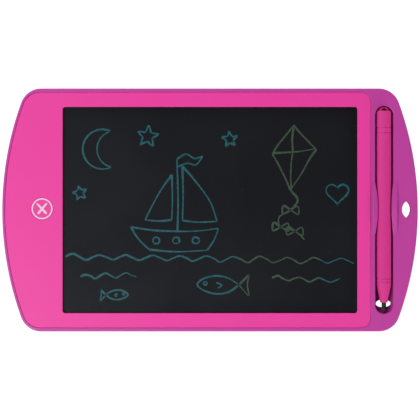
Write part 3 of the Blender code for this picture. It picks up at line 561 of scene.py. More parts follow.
def make_mould_grain():
    """Spark-eroded mould grain as a height, with broad soft blotches where the gloss drifts."""
    values = {"Grain Scale": 4200.0, "Blotch Scale": 22.0}
    group, start, end = new_group("mould_grain", values, ["Grain", "Blotch"])
    coarse_scale = calculated(group, "MULTIPLY", start["Grain Scale"], 0.3)
    fine = noise(group, start["Place"], start["Grain Scale"], 3.0)
    coarse = noise(group, start["Place"], coarse_scale, 2.0)
    both = calculated(group, "ADD", fine, coarse)
    feed(group, calculated(group, "MULTIPLY", both, 0.5), end["Grain"])
    blotch = noise(group, start["Place"], start["Blotch Scale"], 4.0, distortion=0.4)
    feed(group, mapped(group, blotch, 0.3, 0.7, 0.0, 1.0), end["Blotch"])
    return group


def make_edge_wear():
    """A mask of rubbed edges: where a rounded normal leaves the true one, broken up by noise."""
    group, start, end = new_group("edge_wear", {"Radius": 0.0004, "Amount": 0.5}, ["Mask"])
    rounded = add(group, "Bevel", {"Radius": start["Radius"]}, samples=4)
    true = add(group, "NewGeometry").outputs["Normal"]
    facing = add(group, "VectorMath", {0: rounded.outputs[0], 1: true}, operation="DOT_PRODUCT")
    edge = mapped(group, facing.outputs["Value"], 0.995, 0.8, 0.0, 1.0)
    broken = mapped(group, noise(group, start["Place"], 260.0, 3.0), 0.35, 0.65, 0.25, 1.0)
    worn = calculated(group, "MULTIPLY", edge, broken)
    feed(group, calculated(group, "MULTIPLY", worn, start["Amount"]), end["Mask"])
    return group


def make_handling_marks():
    """A mask of faint hair scratches and rubbed patches from handling."""
    group, start, end = new_group("handling_marks", {"Scale": 60.0, "Amount": 0.5}, ["Mask"])
    lines = []
    for turn, reach in ((0.4, (1.0, 30.0, 1.0)), (-0.9, (26.0, 1.0, 1.0))):
        hair_place = stretched(group, start["Place"], reach, (0.0, 0.0, turn))
        hairs = noise(group, hair_place, start["Scale"], 2.0)
        lines.append(mapped(group, hairs, 0.66, 0.7, 0.0, 1.0))
    crossed = calculated(group, "MAXIMUM", *lines)
    rubbed = mapped(group, noise(group, start["Place"], 35.0, 3.0), 0.5, 0.7, 0.0, 1.0)
    scratched = calculated(group, "MULTIPLY", crossed, rubbed)
    feed(group, calculated(group, "MULTIPLY", scratched, start["Amount"]), end["Mask"])
    return group


def make_dust():
    """A mask of sparse fine specks."""
    group, start, end = new_group("dust_specks", {"Scale": 300.0, "Amount": 0.5}, ["Mask"])
    cells = add(group, "TexVoronoi", {"Vector": start["Place"], "Scale": start["Scale"]}, feature="F1")
    speck = mapped(group, cells.outputs["Distance"], 0.05, 0.12, 1.0, 0.0)
    chance = add(group, "SeparateColor", {0: cells.outputs["Color"]})
    chosen = mapped(group, chance.outputs[0], 0.9, 0.92, 0.0, 1.0)
    kept = calculated(group, "MULTIPLY", speck, chosen)
    feed(group, calculated(group, "MULTIPLY", kept, start["Amount"]), end["Mask"])
    return group


mould_grain = make_mould_grain()
edge_wear = make_edge_wear()
handling_marks = make_handling_marks()
dust_specks = make_dust()


def placed(tree, group, inputs):
    """A shared node group placed in a material with its own values."""
    return add(tree, "Group", inputs, node_tree=group).outputs


def new_surface(name):
    """A material with its node tree, its shader and the place on the piece itself, which moves with it."""
    material = bpy.data.materials.new(name)
    material.use_nodes = True
    tree = material.node_tree
    return material, tree, tree.nodes["Principled BSDF"], add(tree, "TexCoord").outputs["Object"]


def set_surface(tree, shader, colour, roughness, height=None, strength=0.0, distance=0.0):
    """Give the shader a colour and a roughness, and a normal too where the surface has relief."""
    feed(tree, colour, shader.inputs["Base Color"])
    feed(tree, roughness, shader.inputs["Roughness"])
    if height is not None:
        bump = add(tree, "Bump", {"Strength": strength, "Distance": distance, "Height": height})
        feed(tree, bump.outputs["Normal"], shader.inputs["Normal"])


def moulded_plastic(
    name, colour, deep_colour, rubbed_colour, roughness, grain_height=0.00002, marks=0.35, specular=0.5
):
    """Moulded plastic: fine grain, gloss that drifts, paler rubbed edges, hair marks and dust."""
    material, tree, shader, place = new_surface(name)
    grain = placed(tree, mould_grain, {"Place": place})
    wear = placed(tree, edge_wear, {"Place": place, "Amount": 0.35})
    hairs = placed(tree, handling_marks, {"Place": place, "Amount": marks})
    dust = placed(tree, dust_specks, {"Place": place, "Amount": 0.25})
    shaded = mix_colours(tree, grain["Blotch"], colour, deep_colour)
    rubbed = mix_colours(tree, wear["Mask"], shaded, rubbed_colour)
    dusty = mix_colours(tree, dust["Mask"], rubbed, rubbed_colour)
    drift = mapped(tree, grain["Blotch"], 0.0, 1.0, roughness - gloss_spread, roughness + gloss_spread)
    scuffed = calculated(tree, "MULTIPLY_ADD", hairs["Mask"], -0.2, drift)
    shader.inputs["Specular IOR Level"].default_value = specular
    set_surface(tree, shader, dusty, scuffed, grain["Grain"], strength=0.35, distance=grain_height)
    return material


def make_film_surface():
    """The dark writing film: near black with faint cloudy pressure marks under a smooth face."""
    material, tree, shader, place = new_surface("writing_film")
    clouds = placed(tree, mould_grain, {"Place": place, "Grain Scale": 1500.0, "Blotch Scale": 14.0})
    hairs = placed(tree, handling_marks, {"Place": place, "Scale": 30.0, "Amount": 0.25})
    dust = placed(tree, dust_specks, {"Place": place, "Scale": 130.0, "Amount": 0.35})
    dark = mix_colours(tree, clouds["Blotch"], (0.0078, 0.008, 0.01), (0.0092, 0.0095, 0.0122))
    pressed = mix_colours(tree, hairs["Mask"], dark, (0.014, 0.016, 0.018))
    dusty = mix_colours(tree, dust["Mask"], pressed, (0.024, 0.027, 0.029))
    gloss = mapped(tree, clouds["Blotch"], 0.0, 1.0, 0.26, 0.31)
    shader.inputs["Specular IOR Level"].default_value = 0.36
    shader.inputs["Specular Tint"].default_value = (0.86, 0.92, 1.0, 1)
    set_surface(tree, shader, dusty, gloss, clouds["Grain"], strength=0.15, distance=0.00001)
    return material


def make_drawn_line_surface():
    """Lines that the film shows under the nib: teal, turning green across a band of its length."""
    material, tree, shader, place = new_surface("drawn_line")
    along = add(tree, "SeparateXYZ", {0: place}).outputs["X"]
    rising = mapped(tree, along, *green_starts, 0.0, 1.0)
    falling = mapped(tree, along, *green_ends, 1.0, 0.0)
    green = calculated(tree, "MULTIPLY", rising, falling)
    pressure = mapped(tree, noise(tree, place, 420.0, 3.0), 0.35, 0.65, 0.0, 1.0)
    teal_line = mix_colours(tree, pressure, (0.008, 0.062, 0.072), (0.011, 0.092, 0.108))
    green_line = mix_colours(tree, pressure, (0.029, 0.051, 0.031), (0.04, 0.071, 0.043))
    line = mix_colours(tree, green, teal_line, green_line)
    set_surface(tree, shader, line, mapped(tree, pressure, 0.0, 1.0, 0.32, 0.4))
    return material


def make_print_surface():
    """Off-white screen print with a slightly uneven ink film."""
    material, tree, shader, place = new_surface("symbol_print")
    ink = placed(tree, mould_grain, {"Place": place, "Grain Scale": 3000.0, "Blotch Scale": 300.0})
    colour = mix_colours(tree, ink["Blotch"], (0.69, 0.52, 0.62), (0.65, 0.47, 0.58))
    gloss = mapped(tree, ink["Blotch"], 0.0, 1.0, 0.4, 0.5)
    set_surface(tree, shader, colour, gloss, ink["Grain"], strength=0.3, distance=0.00001)
    return material


def make_tape_surface(name, colour, deep_colour, weave):
    """Thin sheet material, such as foam tape or fibre backing, with a fine woven or fibrous face."""
    material, tree, shader, place = new_surface(name)
    fibres = placed(tree, mould_grain, {"Place": place, "Grain Scale": weave, "Blotch Scale": 120.0})
    dust = placed(tree, dust_specks, {"Place": place, "Scale": 500.0, "Amount": 0.3})
    shaded = mix_colours(tree, fibres["Grain"], colour, deep_colour)
    dusty = mix_colours(tree, dust["Mask"], shaded, (0.2, 0.2, 0.2))
    dull = mapped(tree, fibres["Blotch"], 0.0, 1.0, 0.75, 0.9)
    set_surface(tree, shader, dusty, dull, fibres["Grain"], strength=0.6, distance=0.00005)
    return material


def make_amber_surface():
    """The amber contact film, with copper tracks running along it."""
    material, tree, shader, place = new_surface("amber_film")
    track = mapped(tree, bands(tree, place, 160.0, "Y"), 0.45, 0.6, 0.0, 1.0)
    grain = placed(tree, mould_grain, {"Place": place})
    amber = mix_colours(tree, grain["Blotch"], (0.46, 0.2, 0.03), (0.38, 0.15, 0.02))
    colour = mix_colours(tree, track, amber, (0.55, 0.32, 0.16))
    feed(tree, mapped(tree, track, 0.0, 1.0, 0.0, 0.8), shader.inputs["Metallic"])
    set_surface(tree, shader, colour, mapped(tree, grain["Blotch"], 0.0, 1.0, 0.28, 0.4))
    return material


def make_board_surface():
    """Green solder mask over copper tracks, with the tracks showing as darker raised lines."""
    material, tree, shader, place = new_surface("board_green")
    tracks = add(
        tree,
        "TexBrick",
        {"Vector": place, "Scale": 210.0, "Mortar Size": 0.06, "Brick Width": 1.7, "Row Height": 0.35},
        offset=0.37,
    )
    lanes = calculated(tree, "SUBTRACT", 1.0, tracks.outputs["Fac"])
    grain = placed(tree, mould_grain, {"Place": place, "Grain Scale": 2500.0, "Blotch Scale": 90.0})
    mask_green = mix_colours(tree, grain["Blotch"], (0.012, 0.13, 0.055), (0.016, 0.16, 0.07))
    colour = mix_colours(tree, lanes, mask_green, (0.006, 0.075, 0.03))
    gloss = mapped(tree, grain["Blotch"], 0.0, 1.0, 0.25, 0.38)
    set_surface(tree, shader, colour, gloss, lanes, strength=0.4, distance=0.00003)
    return material


def make_steel_surface():
    """Steel with fine turning or rolling marks and a thin tarnish."""
    material, tree, shader, place = new_surface("steel")
    brushed = noise(tree, stretched(tree, place, (900.0, 900.0, 90.0)), 5.0, 3.0)
    patches = placed(tree, mould_grain, {"Place": place, "Blotch Scale": 180.0})
    wear = placed(tree, edge_wear, {"Place": place, "Radius": 0.0002, "Amount": 0.6})
    clean = (0.62, 0.62, 0.64)
    dulled = mix_colours(tree, patches["Blotch"], clean, (0.5, 0.49, 0.48))
    bright = mix_colours(tree, wear["Mask"], dulled, clean)
    gloss = mapped(tree, brushed, 0.3, 0.7, 0.2, 0.36)
    shader.inputs["Metallic"].default_value = 1
    set_surface(tree, shader, bright, gloss, brushed, strength=0.2, distance=0.00001)
    return material


def make_winding_surface():
    """Enamelled copper wire wound in fine turns, with painted shade darkening the grooves between the
    turns.
    """
    material, tree, shader, place = new_surface("copper")
    turns = bands(tree, place, 1600.0, "Z")
    # Painted shade: the colour goes dark in the low grooves between turns, where the bump is lowest, and
    # bright on the tops of the turns
    enamel_with_groove_shade = mix_colours(tree, turns, (0.3, 0.1, 0.04), (0.78, 0.36, 0.2))
    gloss = mapped(tree, turns, 0.0, 1.0, 0.45, 0.25)
    shader.inputs["Metallic"].default_value = 1
    set_surface(tree, shader, enamel_with_groove_shade, gloss, turns, strength=0.8, distance=0.0001)
    return material


purple_plastic = moulded_plastic(
    "purple_plastic", (0.456, 0.046, 0.299), (0.441, 0.044, 0.29), (0.52, 0.075, 0.36), 0.42
)
pink_plastic = moulded_plastic(
    "pink_plastic", (0.705, 0.0425, 0.3), (0.69, 0.041, 0.293), (0.78, 0.11, 0.4), 0.42
)
stylus_pink = moulded_plastic(
    "stylus_pink", (0.57, 0.035, 0.226), (0.558, 0.0335, 0.22), (0.64, 0.065, 0.29), 0.6,
    marks=0.5, specular=0.22,
)
nib_black = moulded_plastic(
    "nib_black", (0.012, 0.022, 0.016), (0.016, 0.028, 0.021), (0.06, 0.08, 0.07), 0.55, specular=0.25
)
black_plastic = moulded_plastic(
    "black_plastic", (0.018, 0.018, 0.02), (0.024, 0.024, 0.026), (0.08, 0.08, 0.085), 0.5
)
ceramic_tan = moulded_plastic(
    "ceramic_tan", (0.5, 0.37, 0.22), (0.42, 0.3, 0.18), (0.6, 0.5, 0.36), 0.5, grain_height=0.00004
)
writing_film = make_film_surface()
drawn_line = make_drawn_line_surface()
symbol_print = make_print_surface()
adhesive_tape = make_tape_surface("adhesive_tape", (0.012, 0.012, 0.013), (0.03, 0.03, 0.032), 2600.0)
backing_sheet = make_tape_surface("backing_sheet", (0.035, 0.035, 0.037), (0.02, 0.02, 0.022), 1800.0)
amber_film = make_amber_surface()
board_green = make_board_surface()
steel = make_steel_surface()
copper = make_winding_surface()


def make_case_shell():
    """The back shell: round rim, seat for the bezel, battery well, ribs, posts and stylus tray."""
    taper = round_over((0, underside_taper_rise), (-underside_taper_width, 0), taper_steps)[::-1]
    shell = stacked("case_shell", taper + rounded_top(case_height, rim_round), case_outline)
    brim = case_height + flare_lift
    above = case_height + cut_overrun
    lip = bezel_groove + seat_lip_width
    lip_edge = round_over((bezel_groove, brim - seat_lip_depth), (lip, brim))
    seat = stacked("bezel_seat", [(bezel_groove, ledge_height), *lip_edge, (lip, above)], bezel_outline)
    pocket = stacked("deep_pocket", upright(floor_thickness, above, fit_gap - ledge_width), bezel_outline)
    shape(shell, cuts=[seat, pocket])
    shape(shell, joins=floor_features(), cuts=floor_holes() + tray_cuts(brim, above))
    finish(shell, purple_plastic, "purple_plastic", "case", "back_shell")


def floor_features():
    """The battery well, screw posts, board bosses and ribs that stand on the floor."""
    root = floor_thickness - fit_gap
    half_rib = rib_thickness / 2
    rib_left = film_low.x + ledge_width / 2
    rib_right = bezel_right - ledge_width / 2
    reach_y = case_width / 2 - bezel_side_inset - ledge_width / 2
    across = []
    for rib in range(ribs_across):
        x = rib_left + half_rib + (rib_right - rib_left) * rib / ribs_across
        across.append(((x - half_rib, -reach_y, root), (x + half_rib, reach_y, post_top - fit_gap / 2)))
    along = []
    for rib in range(ribs_along):
        y = window_width * ((rib + 1) / (ribs_along + 1) - 1 / 2)
        along.append(((rib_left, y - half_rib, root), (rib_right, y + half_rib, rib_top)))
    return [
        stacked("battery_well", upright(root, well_top, fit_gap + well_wall), door_outline),
        stacked("posts", upright(root, post_top), *circles(case_screws, post_radius)),
        stacked("bosses", upright(root, well_top), *circles(board_screws, boss_radius)),
        box_group("ribs_across", across),
        box_group("ribs_along", along),
    ]


def floor_holes():
    """Everything that opens the floor from the back, and the blind holes for the board screws."""
    below = -cut_overrun
    cell_hole = circle(middle("coin_cell"), (cell_high.x - cell_low.x) / 2 + cell_clearance, turn_steps)
    door_screw_hole = circle((door_x, door_screw_y), bezel_boss_hole_radius)
    counterbore_top = back_recess + case_screw_head_height + fit_gap
    counterbores = circles(case_screws, case_screw_head_radius)
    shank_holes = circles(case_screws, case_screw_shank_radius + fit_gap)
    boss_hole_levels = upright(floor_thickness + fit_gap, well_top + cut_overrun)
    knob_room = rounded_rectangle(
        (lock_x, lock_rest_y + lock_travel / 2),
        knob_size.x + 2 * fit_gap,
        knob_size.y + lock_travel + 2 * fit_gap,
        fit_gap,
    )
    return [
        stacked("door_recess", rear_recess(door_high.z + fit_gap), door_outline),
        stacked("cell_hole", upright(below, board_low.z), cell_hole),
        stacked("door_screw_hole", upright(below, well_top - fit_gap), door_screw_hole),
        stacked("counterbores", rear_recess(counterbore_top), *counterbores),
        stacked("shank_holes", upright(below, ledge_height + cut_overrun), *shank_holes),
        stacked("board_boss_holes", boss_hole_levels, *circles(board_screws, boss_hole_radius)),
        stacked("lock_slot", upright(below, floor_thickness + cut_overrun / 2), knob_room),
    ]


def tray_cuts(brim, above):
    """The stylus slot with its round floor, the push-out hole, the lanyard hole and the clips' seats."""
    floor_end = (-slot_floor_reach_share * channel_radius, slot_floor_thickness)
    slot_floor = round_over((0, channel_z), floor_end, taper_steps)[::-1]
    push_hole_place = (slot_x, push_hole_from_end - slot_half_length)
    push_hole_outline = ellipse(push_hole_place, push_hole_length, push_hole_width)
    lanyard_place = (case_length / 2 - lanyard_hole_from_end, lanyard_hole_from_middle)
    lanyard_outline = lens(lanyard_place, lanyard_hole_width, lanyard_hole_length)
    lanyard_levels = upright(-cut_overrun, 0, lanyard_draft) + flare(brim, lanyard_edge_round, above)
    room_end_y = cap_end_y + cap_room_clearance
    seats = []
    for name, side in (("pen_clip_left", -1), ("pen_clip_right", 1)):
        low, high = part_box(name)
        root_x = low.x if side < 0 else high.x
        inner = slot_x + side * channel_radius / 2
        outer = root_x + side * fit_gap
        seats.append(
            (
                (min(inner, outer), low.y - fit_gap, case_height - clip_depth - fit_gap),
                (max(inner, outer), high.y + fit_gap, above),
            )
        )
    return [
        stacked("stylus_slot", slot_floor + flare(brim, slot_edge_round, above), slot_outline),
        stacked("push_out_hole", upright(-cut_overrun, channel_z), push_hole_outline),
        stacked("lanyard_hole", lanyard_levels, lanyard_outline),
        turned_in_slot("cap_room", upright(collar_high.y, room_end_y, stylus_radius + cap_room_clearance)),
        box_group("clip_seats", seats),
    ]


def make_bezel_cover():
    """The front bezel: a plate with a skirt, the screen window, the button hole and screw bosses."""
    bottom, top = bezel_low.z, bezel_high.z
    bezel = stacked("bezel_cover", [(0, bottom), *rounded_top(top, bezel_edge_round)], bezel_outline)
    inside = upright(bottom - cut_overrun, bezel_underside, -bezel_skirt_thickness)
    shape(bezel, cuts=[stacked("bezel_inside", inside, bezel_outline)])
    boss_levels = upright(bottom, bezel_underside + bezel_plate_thickness / 2)
    boss_hole_levels = upright(bottom - cut_overrun, bottom + bezel_boss_hole_depth)
    bosses = stacked("bezel_bosses", boss_levels, *circles(case_screws, bezel_boss_radius))
    holes = stacked("bezel_boss_holes", boss_hole_levels, *circles(case_screws, bezel_boss_hole_radius))
    below = (0, bezel_underside - cut_overrun)
    brim = top + flare_lift
    above = brim + cut_overrun
    window = stacked(
        "screen_window",
        [below, *flare(brim, window_edge_round, above)],
        rounded_rectangle((window_x, 0), window_length, window_width, window_corner_radius),
    )
    button_hole = stacked(
        "button_hole",
        [below, *flare(brim, button_edge_round, above)],
        circle((button_x, button_y), button_hole_radius, turn_steps),
    )
    shape(bezel, joins=[bosses], cuts=[holes, window, button_hole])
    finish(bezel, pink_plastic, "pink_plastic", "case", "front_bezel")


def make_clip_piece(name, node, side):
    """A springy clip: a low arch that swells from the tray at both ends and leans over the stylus."""
    low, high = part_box(node)
    root = abs((low.x if side < 0 else high.x) - slot_x) + fit_gap - hairline
    reach = channel_radius - abs((high.x if side < 0 else low.x) - slot_x)
    middle_y = (low.y + high.y) / 2
    half = (high.y - low.y) / 2 + fit_gap - hairline
    bottom = case_height - clip_depth
    rings = []
    for station in range(clip_stations + 1):
        share = 2 * station / clip_stations - 1
        swell = 1 - share**2
        lip = channel_radius - reach * swell
        top = case_height + clip_rise * swell
        lip_top = top - clip_lean * swell
        edge = clip_end_round + (clip_edge_round - clip_end_round) * swell
        section = (
            [(root, bottom), (lip, bottom)]
            + round_over((lip, lip_top - edge), (lip + edge, lip_top))
            + rounded_top(top, edge, root)[::-1]
        )
        rings.append([(slot_x + side * u, middle_y + half * share, z) for u, z in section])
    bm = bmesh.new()
    add_skin(bm, rings)
    stylus_room = upright(low.y - cut_overrun, high.y + cut_overrun, stylus_radius + fit_gap)
    clip = shape(new_piece(name, bm), cuts=[turned_in_slot(name + "_room", stylus_room)])
    finish(clip, purple_plastic, "purple_plastic", "case", node)


def make_button_pieces():
    """The clearing button, flush with the bezel, and the circled cross printed on it."""
    place = (button_x, button_y)
    bottom, top = button_low.z, button_high.z
    flange = (button_high.x - button_low.x) / 2
    flange_levels = upright(bottom, bottom + button_flange_thickness, flange)
    wall_foot = (button_radius, bottom + button_flange_thickness)
    profile = [*flange_levels, wall_foot, *rounded_top(top, button_edge_round, button_radius)]
    button = turned("erase_button_cap", profile, place)
    finish(button, pink_plastic, "pink_plastic", "clearing_button", "erase_button")

    low, high = top - print_thickness, top + print_thickness
    ring_profile = upright(low, high, symbol_radius - symbol_line) + upright(high, low, symbol_radius)
    ring = turned("symbol_ring", ring_profile, place, closed=True)
    strokes = [
        stacked(f"symbol_stroke_{number}", upright(low, high), cross_stroke(*ends))
        for number, ends in enumerate(cross_strokes, 1)
    ]
    cross = shape(strokes[0], joins=strokes[1:])
    cross.name = "symbol_cross"
    for mark in (ring, cross):
        finish(mark, symbol_print, "pink_plastic", "clearing_button")


def cross_stroke(top, foot):
    """An outline maker for one stroke of the cross, a bar with round ends that widens to its foot."""
    angle = math.atan2(foot[1] - top[1], foot[0] - top[0])
    bar = []
    for (x, y), line, start in (
        (foot, cross_foot_line, angle - math.pi / 2),
        (top, cross_top_line, angle + math.pi / 2),
    ):
        bar += arc((button_x + x, button_y + y), line / 2, start, start + math.pi, corner_steps)
    return lambda _grow: bar


# Stylus

def stylus_piece(name, profile, material, slot, node, steps=turn_steps, closed=False):
    finish(turned_in_slot(name, profile, steps, closed), material, slot, "stylus", node)


def lead_in(low):
    """The gentle slope and crisp edge with which a piece of the stylus starts at its lower seam."""
    foot = rounded_foot(low, seam_edge_round, stylus_radius - seam_slope_depth)
    return foot + [(stylus_radius, low + seam_edge_round + seam_slope_length)]


def lead_out(high):
    """The crisp edge with which a piece of the stylus ends at its upper seam."""
    return rounded_top(high, seam_edge_round, stylus_radius)


def sleeve_profile(low, high):
    """A tube of the stylus, up its outside and down its bore."""
    return [(stylus_bore_radius, low), *lead_in(low), *lead_out(high), (stylus_bore_radius, high)]


def make_stylus_pieces():
    """The stylus from its nib up: nib, cone, ring, barrel, collar and cap with its eyelet."""
    spigot_radius = stylus_bore_radius - fit_gap
    nib_profile = rounded_foot(nib_low.y, nib_tip_round, nib_radius) + [(nib_radius, nib_high.y)]
    stylus_piece("nib", nib_profile, nib_black, "nib_black", "stylus_nib", small_turn_steps)

    shoulder_y = ring_low.y - (packed_seam + stylus_seam) / 2
    taper_start = shoulder_y - seam_edge_round
    taper_end = cone_low.y + cone_end_round
    taper = []
    for station in range(cone_stations + 1):
        share = station / cone_stations
        radius = stylus_radius - (stylus_radius - cone_end_radius) * share**cone_fullness
        taper.append((radius, taper_start + (taper_end - taper_start) * share))
    bore = nib_radius + nib_clearance
    cone_profile = (
        [(bore, cone_high.y), (spigot_radius, cone_high.y), (spigot_radius, shoulder_y)]
        + lead_out(shoulder_y)[::-1]
        + taper[1:]
        + rounded_foot(cone_low.y, cone_end_round, cone_end_radius)[::-1][1:]
        + [(bore, cone_low.y)]
    )
    stylus_piece("grip_cone", cone_profile, stylus_pink, "stylus_pink", "stylus_cone", closed=True)

    reach = (packed_seam - stylus_seam) / 2
    for name, node, low, high in (
        ("pen_ring", "stylus_ring", ring_low, ring_high),
        ("pen_barrel", "stylus_barrel", barrel_low, barrel_high),
        ("pen_collar", "stylus_collar", collar_low, collar_high),
    ):
        profile = sleeve_profile(low.y - reach, high.y + reach)
        stylus_piece(name, profile, stylus_pink, "stylus_pink", node, closed=True)
    make_cap_piece(spigot_radius)


def eyelet_outline(grow):
    """The loop on the cap's end, seen from above."""
    reach = eyelet_width / 2 + grow
    rise = eyelet_height + grow
    turns = [2 * angle for angle in quarter_angles(slot_end_steps)]
    arch = [(slot_x + reach * math.cos(a), cap_end_y + rise * math.sin(a)) for a in turns]
    root_y = cap_end_y - cap_top_round
    return [(slot_x + reach, root_y), *arch, (slot_x - reach, root_y)]


def make_cap_piece(spigot_radius):
    """The cap: a plug with a flat end and a flat loop for a cord."""
    rim_y = collar_high.y + (packed_seam + stylus_seam) / 2
    plug = upright(cap_low.y, rim_y, spigot_radius)
    profile = plug + lead_in(rim_y) + rounded_top(cap_end_y, cap_top_round, stylus_radius)
    cap = turned_in_slot("pen_cap", profile)
    low, high = stylus_z - eyelet_thickness / 2, stylus_z + eyelet_thickness / 2
    loop_levels = rounded_foot(low, eyelet_edge_round) + rounded_top(high, eyelet_edge_round)
    loop = stacked("eyelet_loop", loop_levels, eyelet_outline)
    hole_place = (slot_x, cap_end_y + eyelet_hole_from_cap)
    hole_outline = ellipse(hole_place, eyelet_hole_width, eyelet_hole_height)
    hole = stacked("eyelet_hole", upright(low - cut_overrun, high + cut_overrun), hole_outline)
    shape(cap, joins=[loop], cuts=[hole])
    finish(cap, stylus_pink, "stylus_pink", "stylus", "stylus_cap")


# Back of the case

def cross_outline(x, y):
    """An outline maker for the cross that a screwdriver turns in a screw's head."""
    reach, half = cross_recess_reach, cross_recess_width / 2
    half_end = cross_recess_end_share * half
    points = []
    for quarter in range(4):
        turn = Matrix.Rotation(quarter * math.pi / 2, 2)
        for corner in ((reach, -half_end), (reach, half_end), (half, half)):
            points.append(tuple(Vector((x, y)) + turn @ Vector(corner)))
    return lambda _grow: points


def make_screw_piece(name, node, body, head_height, head_up=False):
    """A screw with a round-edged head, a cross recess and a thread drawn as fine ridges."""
    low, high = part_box(node)
    place = middle(node)
    head_radius = (high.x - low.x) / 2
    shank_radius = head_radius / 2
    length = high.z - low.z - head_height
    profile = rounded_foot(0, screw_head_round, head_radius)
    profile += [(head_radius, head_height), (shank_radius, head_height)]
    for ridge in range(int(length / screw_thread_pitch) - 1):
        start = head_height + (ridge + 1 / 2) * screw_thread_pitch
        profile.append((shank_radius - screw_thread_depth, start))
        profile.append((shank_radius, start + screw_thread_pitch / 2))
    profile.append((shank_radius * screw_point_share, head_height + length))
    recess = upright(low.z - cut_overrun, low.z + cross_recess_depth)
    if head_up:
        profile = [(radius, high.z - low.z - height) for radius, height in profile]
        recess = upright(high.z - cross_recess_depth, high.z + cut_overrun)
    screw = turned(name, [(radius, low.z + height) for radius, height in profile], place, small_turn_steps)
    shape(screw, cuts=[stacked(name + "_cross", recess, cross_outline(*place))])
    finish(screw, steel, "steel", body, node)


def make_screw_pieces():
    for number in range(1, 9):
        node = f"case_screw_{number}"
        make_screw_piece(f"case_screw_piece_{number}", node, "case", case_screw_head_height)
    for number in (1, 2):
        node = f"board_screw_{number}"
        make_screw_piece(f"board_screw_piece_{number}", node, "case", board_screw_head_height, head_up=True)
    make_screw_piece("door_screw_piece", "battery_door_screw", "rear_door", door_screw_head_height)


def make_door_piece():
    """The battery door with soft edges, its screw's hole and three grip grooves."""
    low, high = door_low.z, door_high.z
    below = low - cut_overrun
    place = (door_x, door_screw_y)
    door_levels = rounded_foot(low, door_edge_round) + [(0, high)]
    counterbore = circle(place, case_screw_head_radius + fit_gap)
    counterbore_levels = upright(below, low + door_screw_head_height + fit_gap)
    shank_hole = circle(place, case_screw_shank_radius + fit_gap)
    half_width = door_grip_width / 2
    groove_levels = upright(below, low - flare_lift, half_width * door_grip_rim_share)
    groove_levels += [(half_width * door_grip_floor_share, low + door_grip_depth)]
    door = stacked("battery_door_cover", door_levels, door_outline)
    cuts = [
        stacked("door_counterbore", counterbore_levels, counterbore),
        stacked("door_shank_hole", upright(below, high + cut_overrun), shank_hole),
    ]
    for groove in range(door_grip_count):
        groove_place = (door_x, door_high.y - 2 * door_corner_radius - 2 * groove * door_grip_width)
        corner_radius = half_width * door_grip_corner_share
        outline = rounded_rectangle(groove_place, door_grip_length, door_grip_width, corner_radius)
        cuts.append(stacked(f"grip_groove_{groove}", groove_levels, outline))
    shape(door, cuts=cuts)
    finish(door, purple_plastic, "purple_plastic", "rear_door", "battery_door")


def make_lock_piece():
    """The lock slider: a flange inside the floor, a ribbed knob in the back and a pin to the switch."""
    place = (lock_x, lock_rest_y)
    flange_low = floor_thickness + fit_gap
    flange_high = flange_low + lock_flange_thickness
    flange_middle = (flange_low + flange_high) / 2
    flange_outline = rounded_rectangle(place, knob_high.x - knob_low.x, knob_high.y - knob_low.y, fit_gap)
    knob_face = (-knob_edge_round * knob_edge_share, knob_low.z)
    knob_foot = round_over((0, knob_low.z + knob_edge_round), knob_face)[::-1]
    knob_outline = rounded_rectangle(place, *knob_size, knob_edge_round)
    pin_outline = rounded_rectangle(place, lock_pin_width, lock_pin_width, lock_pin_corner_radius)
    slider = stacked("lock_slider_piece", upright(flange_low, flange_high), flange_outline)
    knob = stacked("lock_knob", [*knob_foot, (0, flange_middle)], knob_outline)
    pin = stacked("lock_pin", upright(flange_middle, knob_high.z), pin_outline)
    grooves = []
    for step in (-1, 0, 1):
        y = lock_rest_y + step * knob_groove_spacing
        grooves.append(
            (
                (lock_x - knob_size.x, y - knob_groove_width / 2, knob_low.z - cut_overrun),
                (lock_x + knob_size.x, y + knob_groove_width / 2, knob_low.z + knob_groove_depth),
            )
        )
    shape(slider, joins=[knob, pin], cuts=[box_group("knob_grooves", grooves)])
    finish(slider, black_plastic, "black_plastic", "lock_knob", "lock_slider")


# Drawing on the film: plain motifs in millimetres from the middle of the window

millimetre = 0.001
stroke_width = 1.2
stroke_spacing = 0.45
stroke_thickness = 0.00001
stroke_lift = 0.000001
stroke_end_share = 0.08
first_pressure = 1.25
pressure_fall = 0.55
slow_sway, slow_sway_length = 0.13, 7
quick_sway, quick_sway_length = 0.07, 2.3
line_point_spacing = 9
loop_points = 14
loop_overlap = 0.25
star_tilt = 0.2
star_waist = 0.42
star_wobble = 0.25
moon_start, moon_end = math.radians(65), math.radians(295)
moon_bite_share = 0.66
moon_steps, moon_bite_steps = 12, 10
wave_rises = (0, 1, 0.1, -1)
wave_least, wave_most = 0.7, 1.2
wave_shift = 0.6
fish_eye = (0.62, 0.08)
fish_eye_radius = 0.08
fish_fin = [(-0.1, 0.12), (0.15, -0.02), (-0.05, -0.16)]
fish_body = [(1.45, 0.5), (1.0, 0.05), (0.5, -0.32), (-0.1, -0.42), (-0.7, -0.25), (-1.0, 0.02)]
fish_body += [(-0.7, 0.3), (-0.1, 0.43), (0.5, 0.3), (1.0, -0.05), (1.42, -0.5), (1.36, 0), (1.45, 0.5)]
kite_bow = [(0, 0), (-5, 3), (-5.5, -2.5), (0, 0), (5, 2.6), (5.4, -3), (0, 0)]
heart_steps = 20
pen_hand = random.Random(5)


def smooth_path(points):
    """A smooth curve through points, as a hand draws it."""
    points = [Vector(point) for point in points]
    ends = [points[0] * 2 - points[1], *points, points[-1] * 2 - points[-2]]
    path = []
    for before, start, end, after in zip(ends, ends[1:], ends[2:], ends[3:]):
        bend = 2 * before - 5 * start + 4 * end - after
        twist = 3 * start - before - 3 * end + after
        steps = max(2, round((end - start).length / stroke_spacing))
        for step in range(steps):
            t = step / steps
            path.append((2 * start + (end - before) * t + bend * t**2 + twist * t**3) / 2)
    path.append(points[-1])
    return path


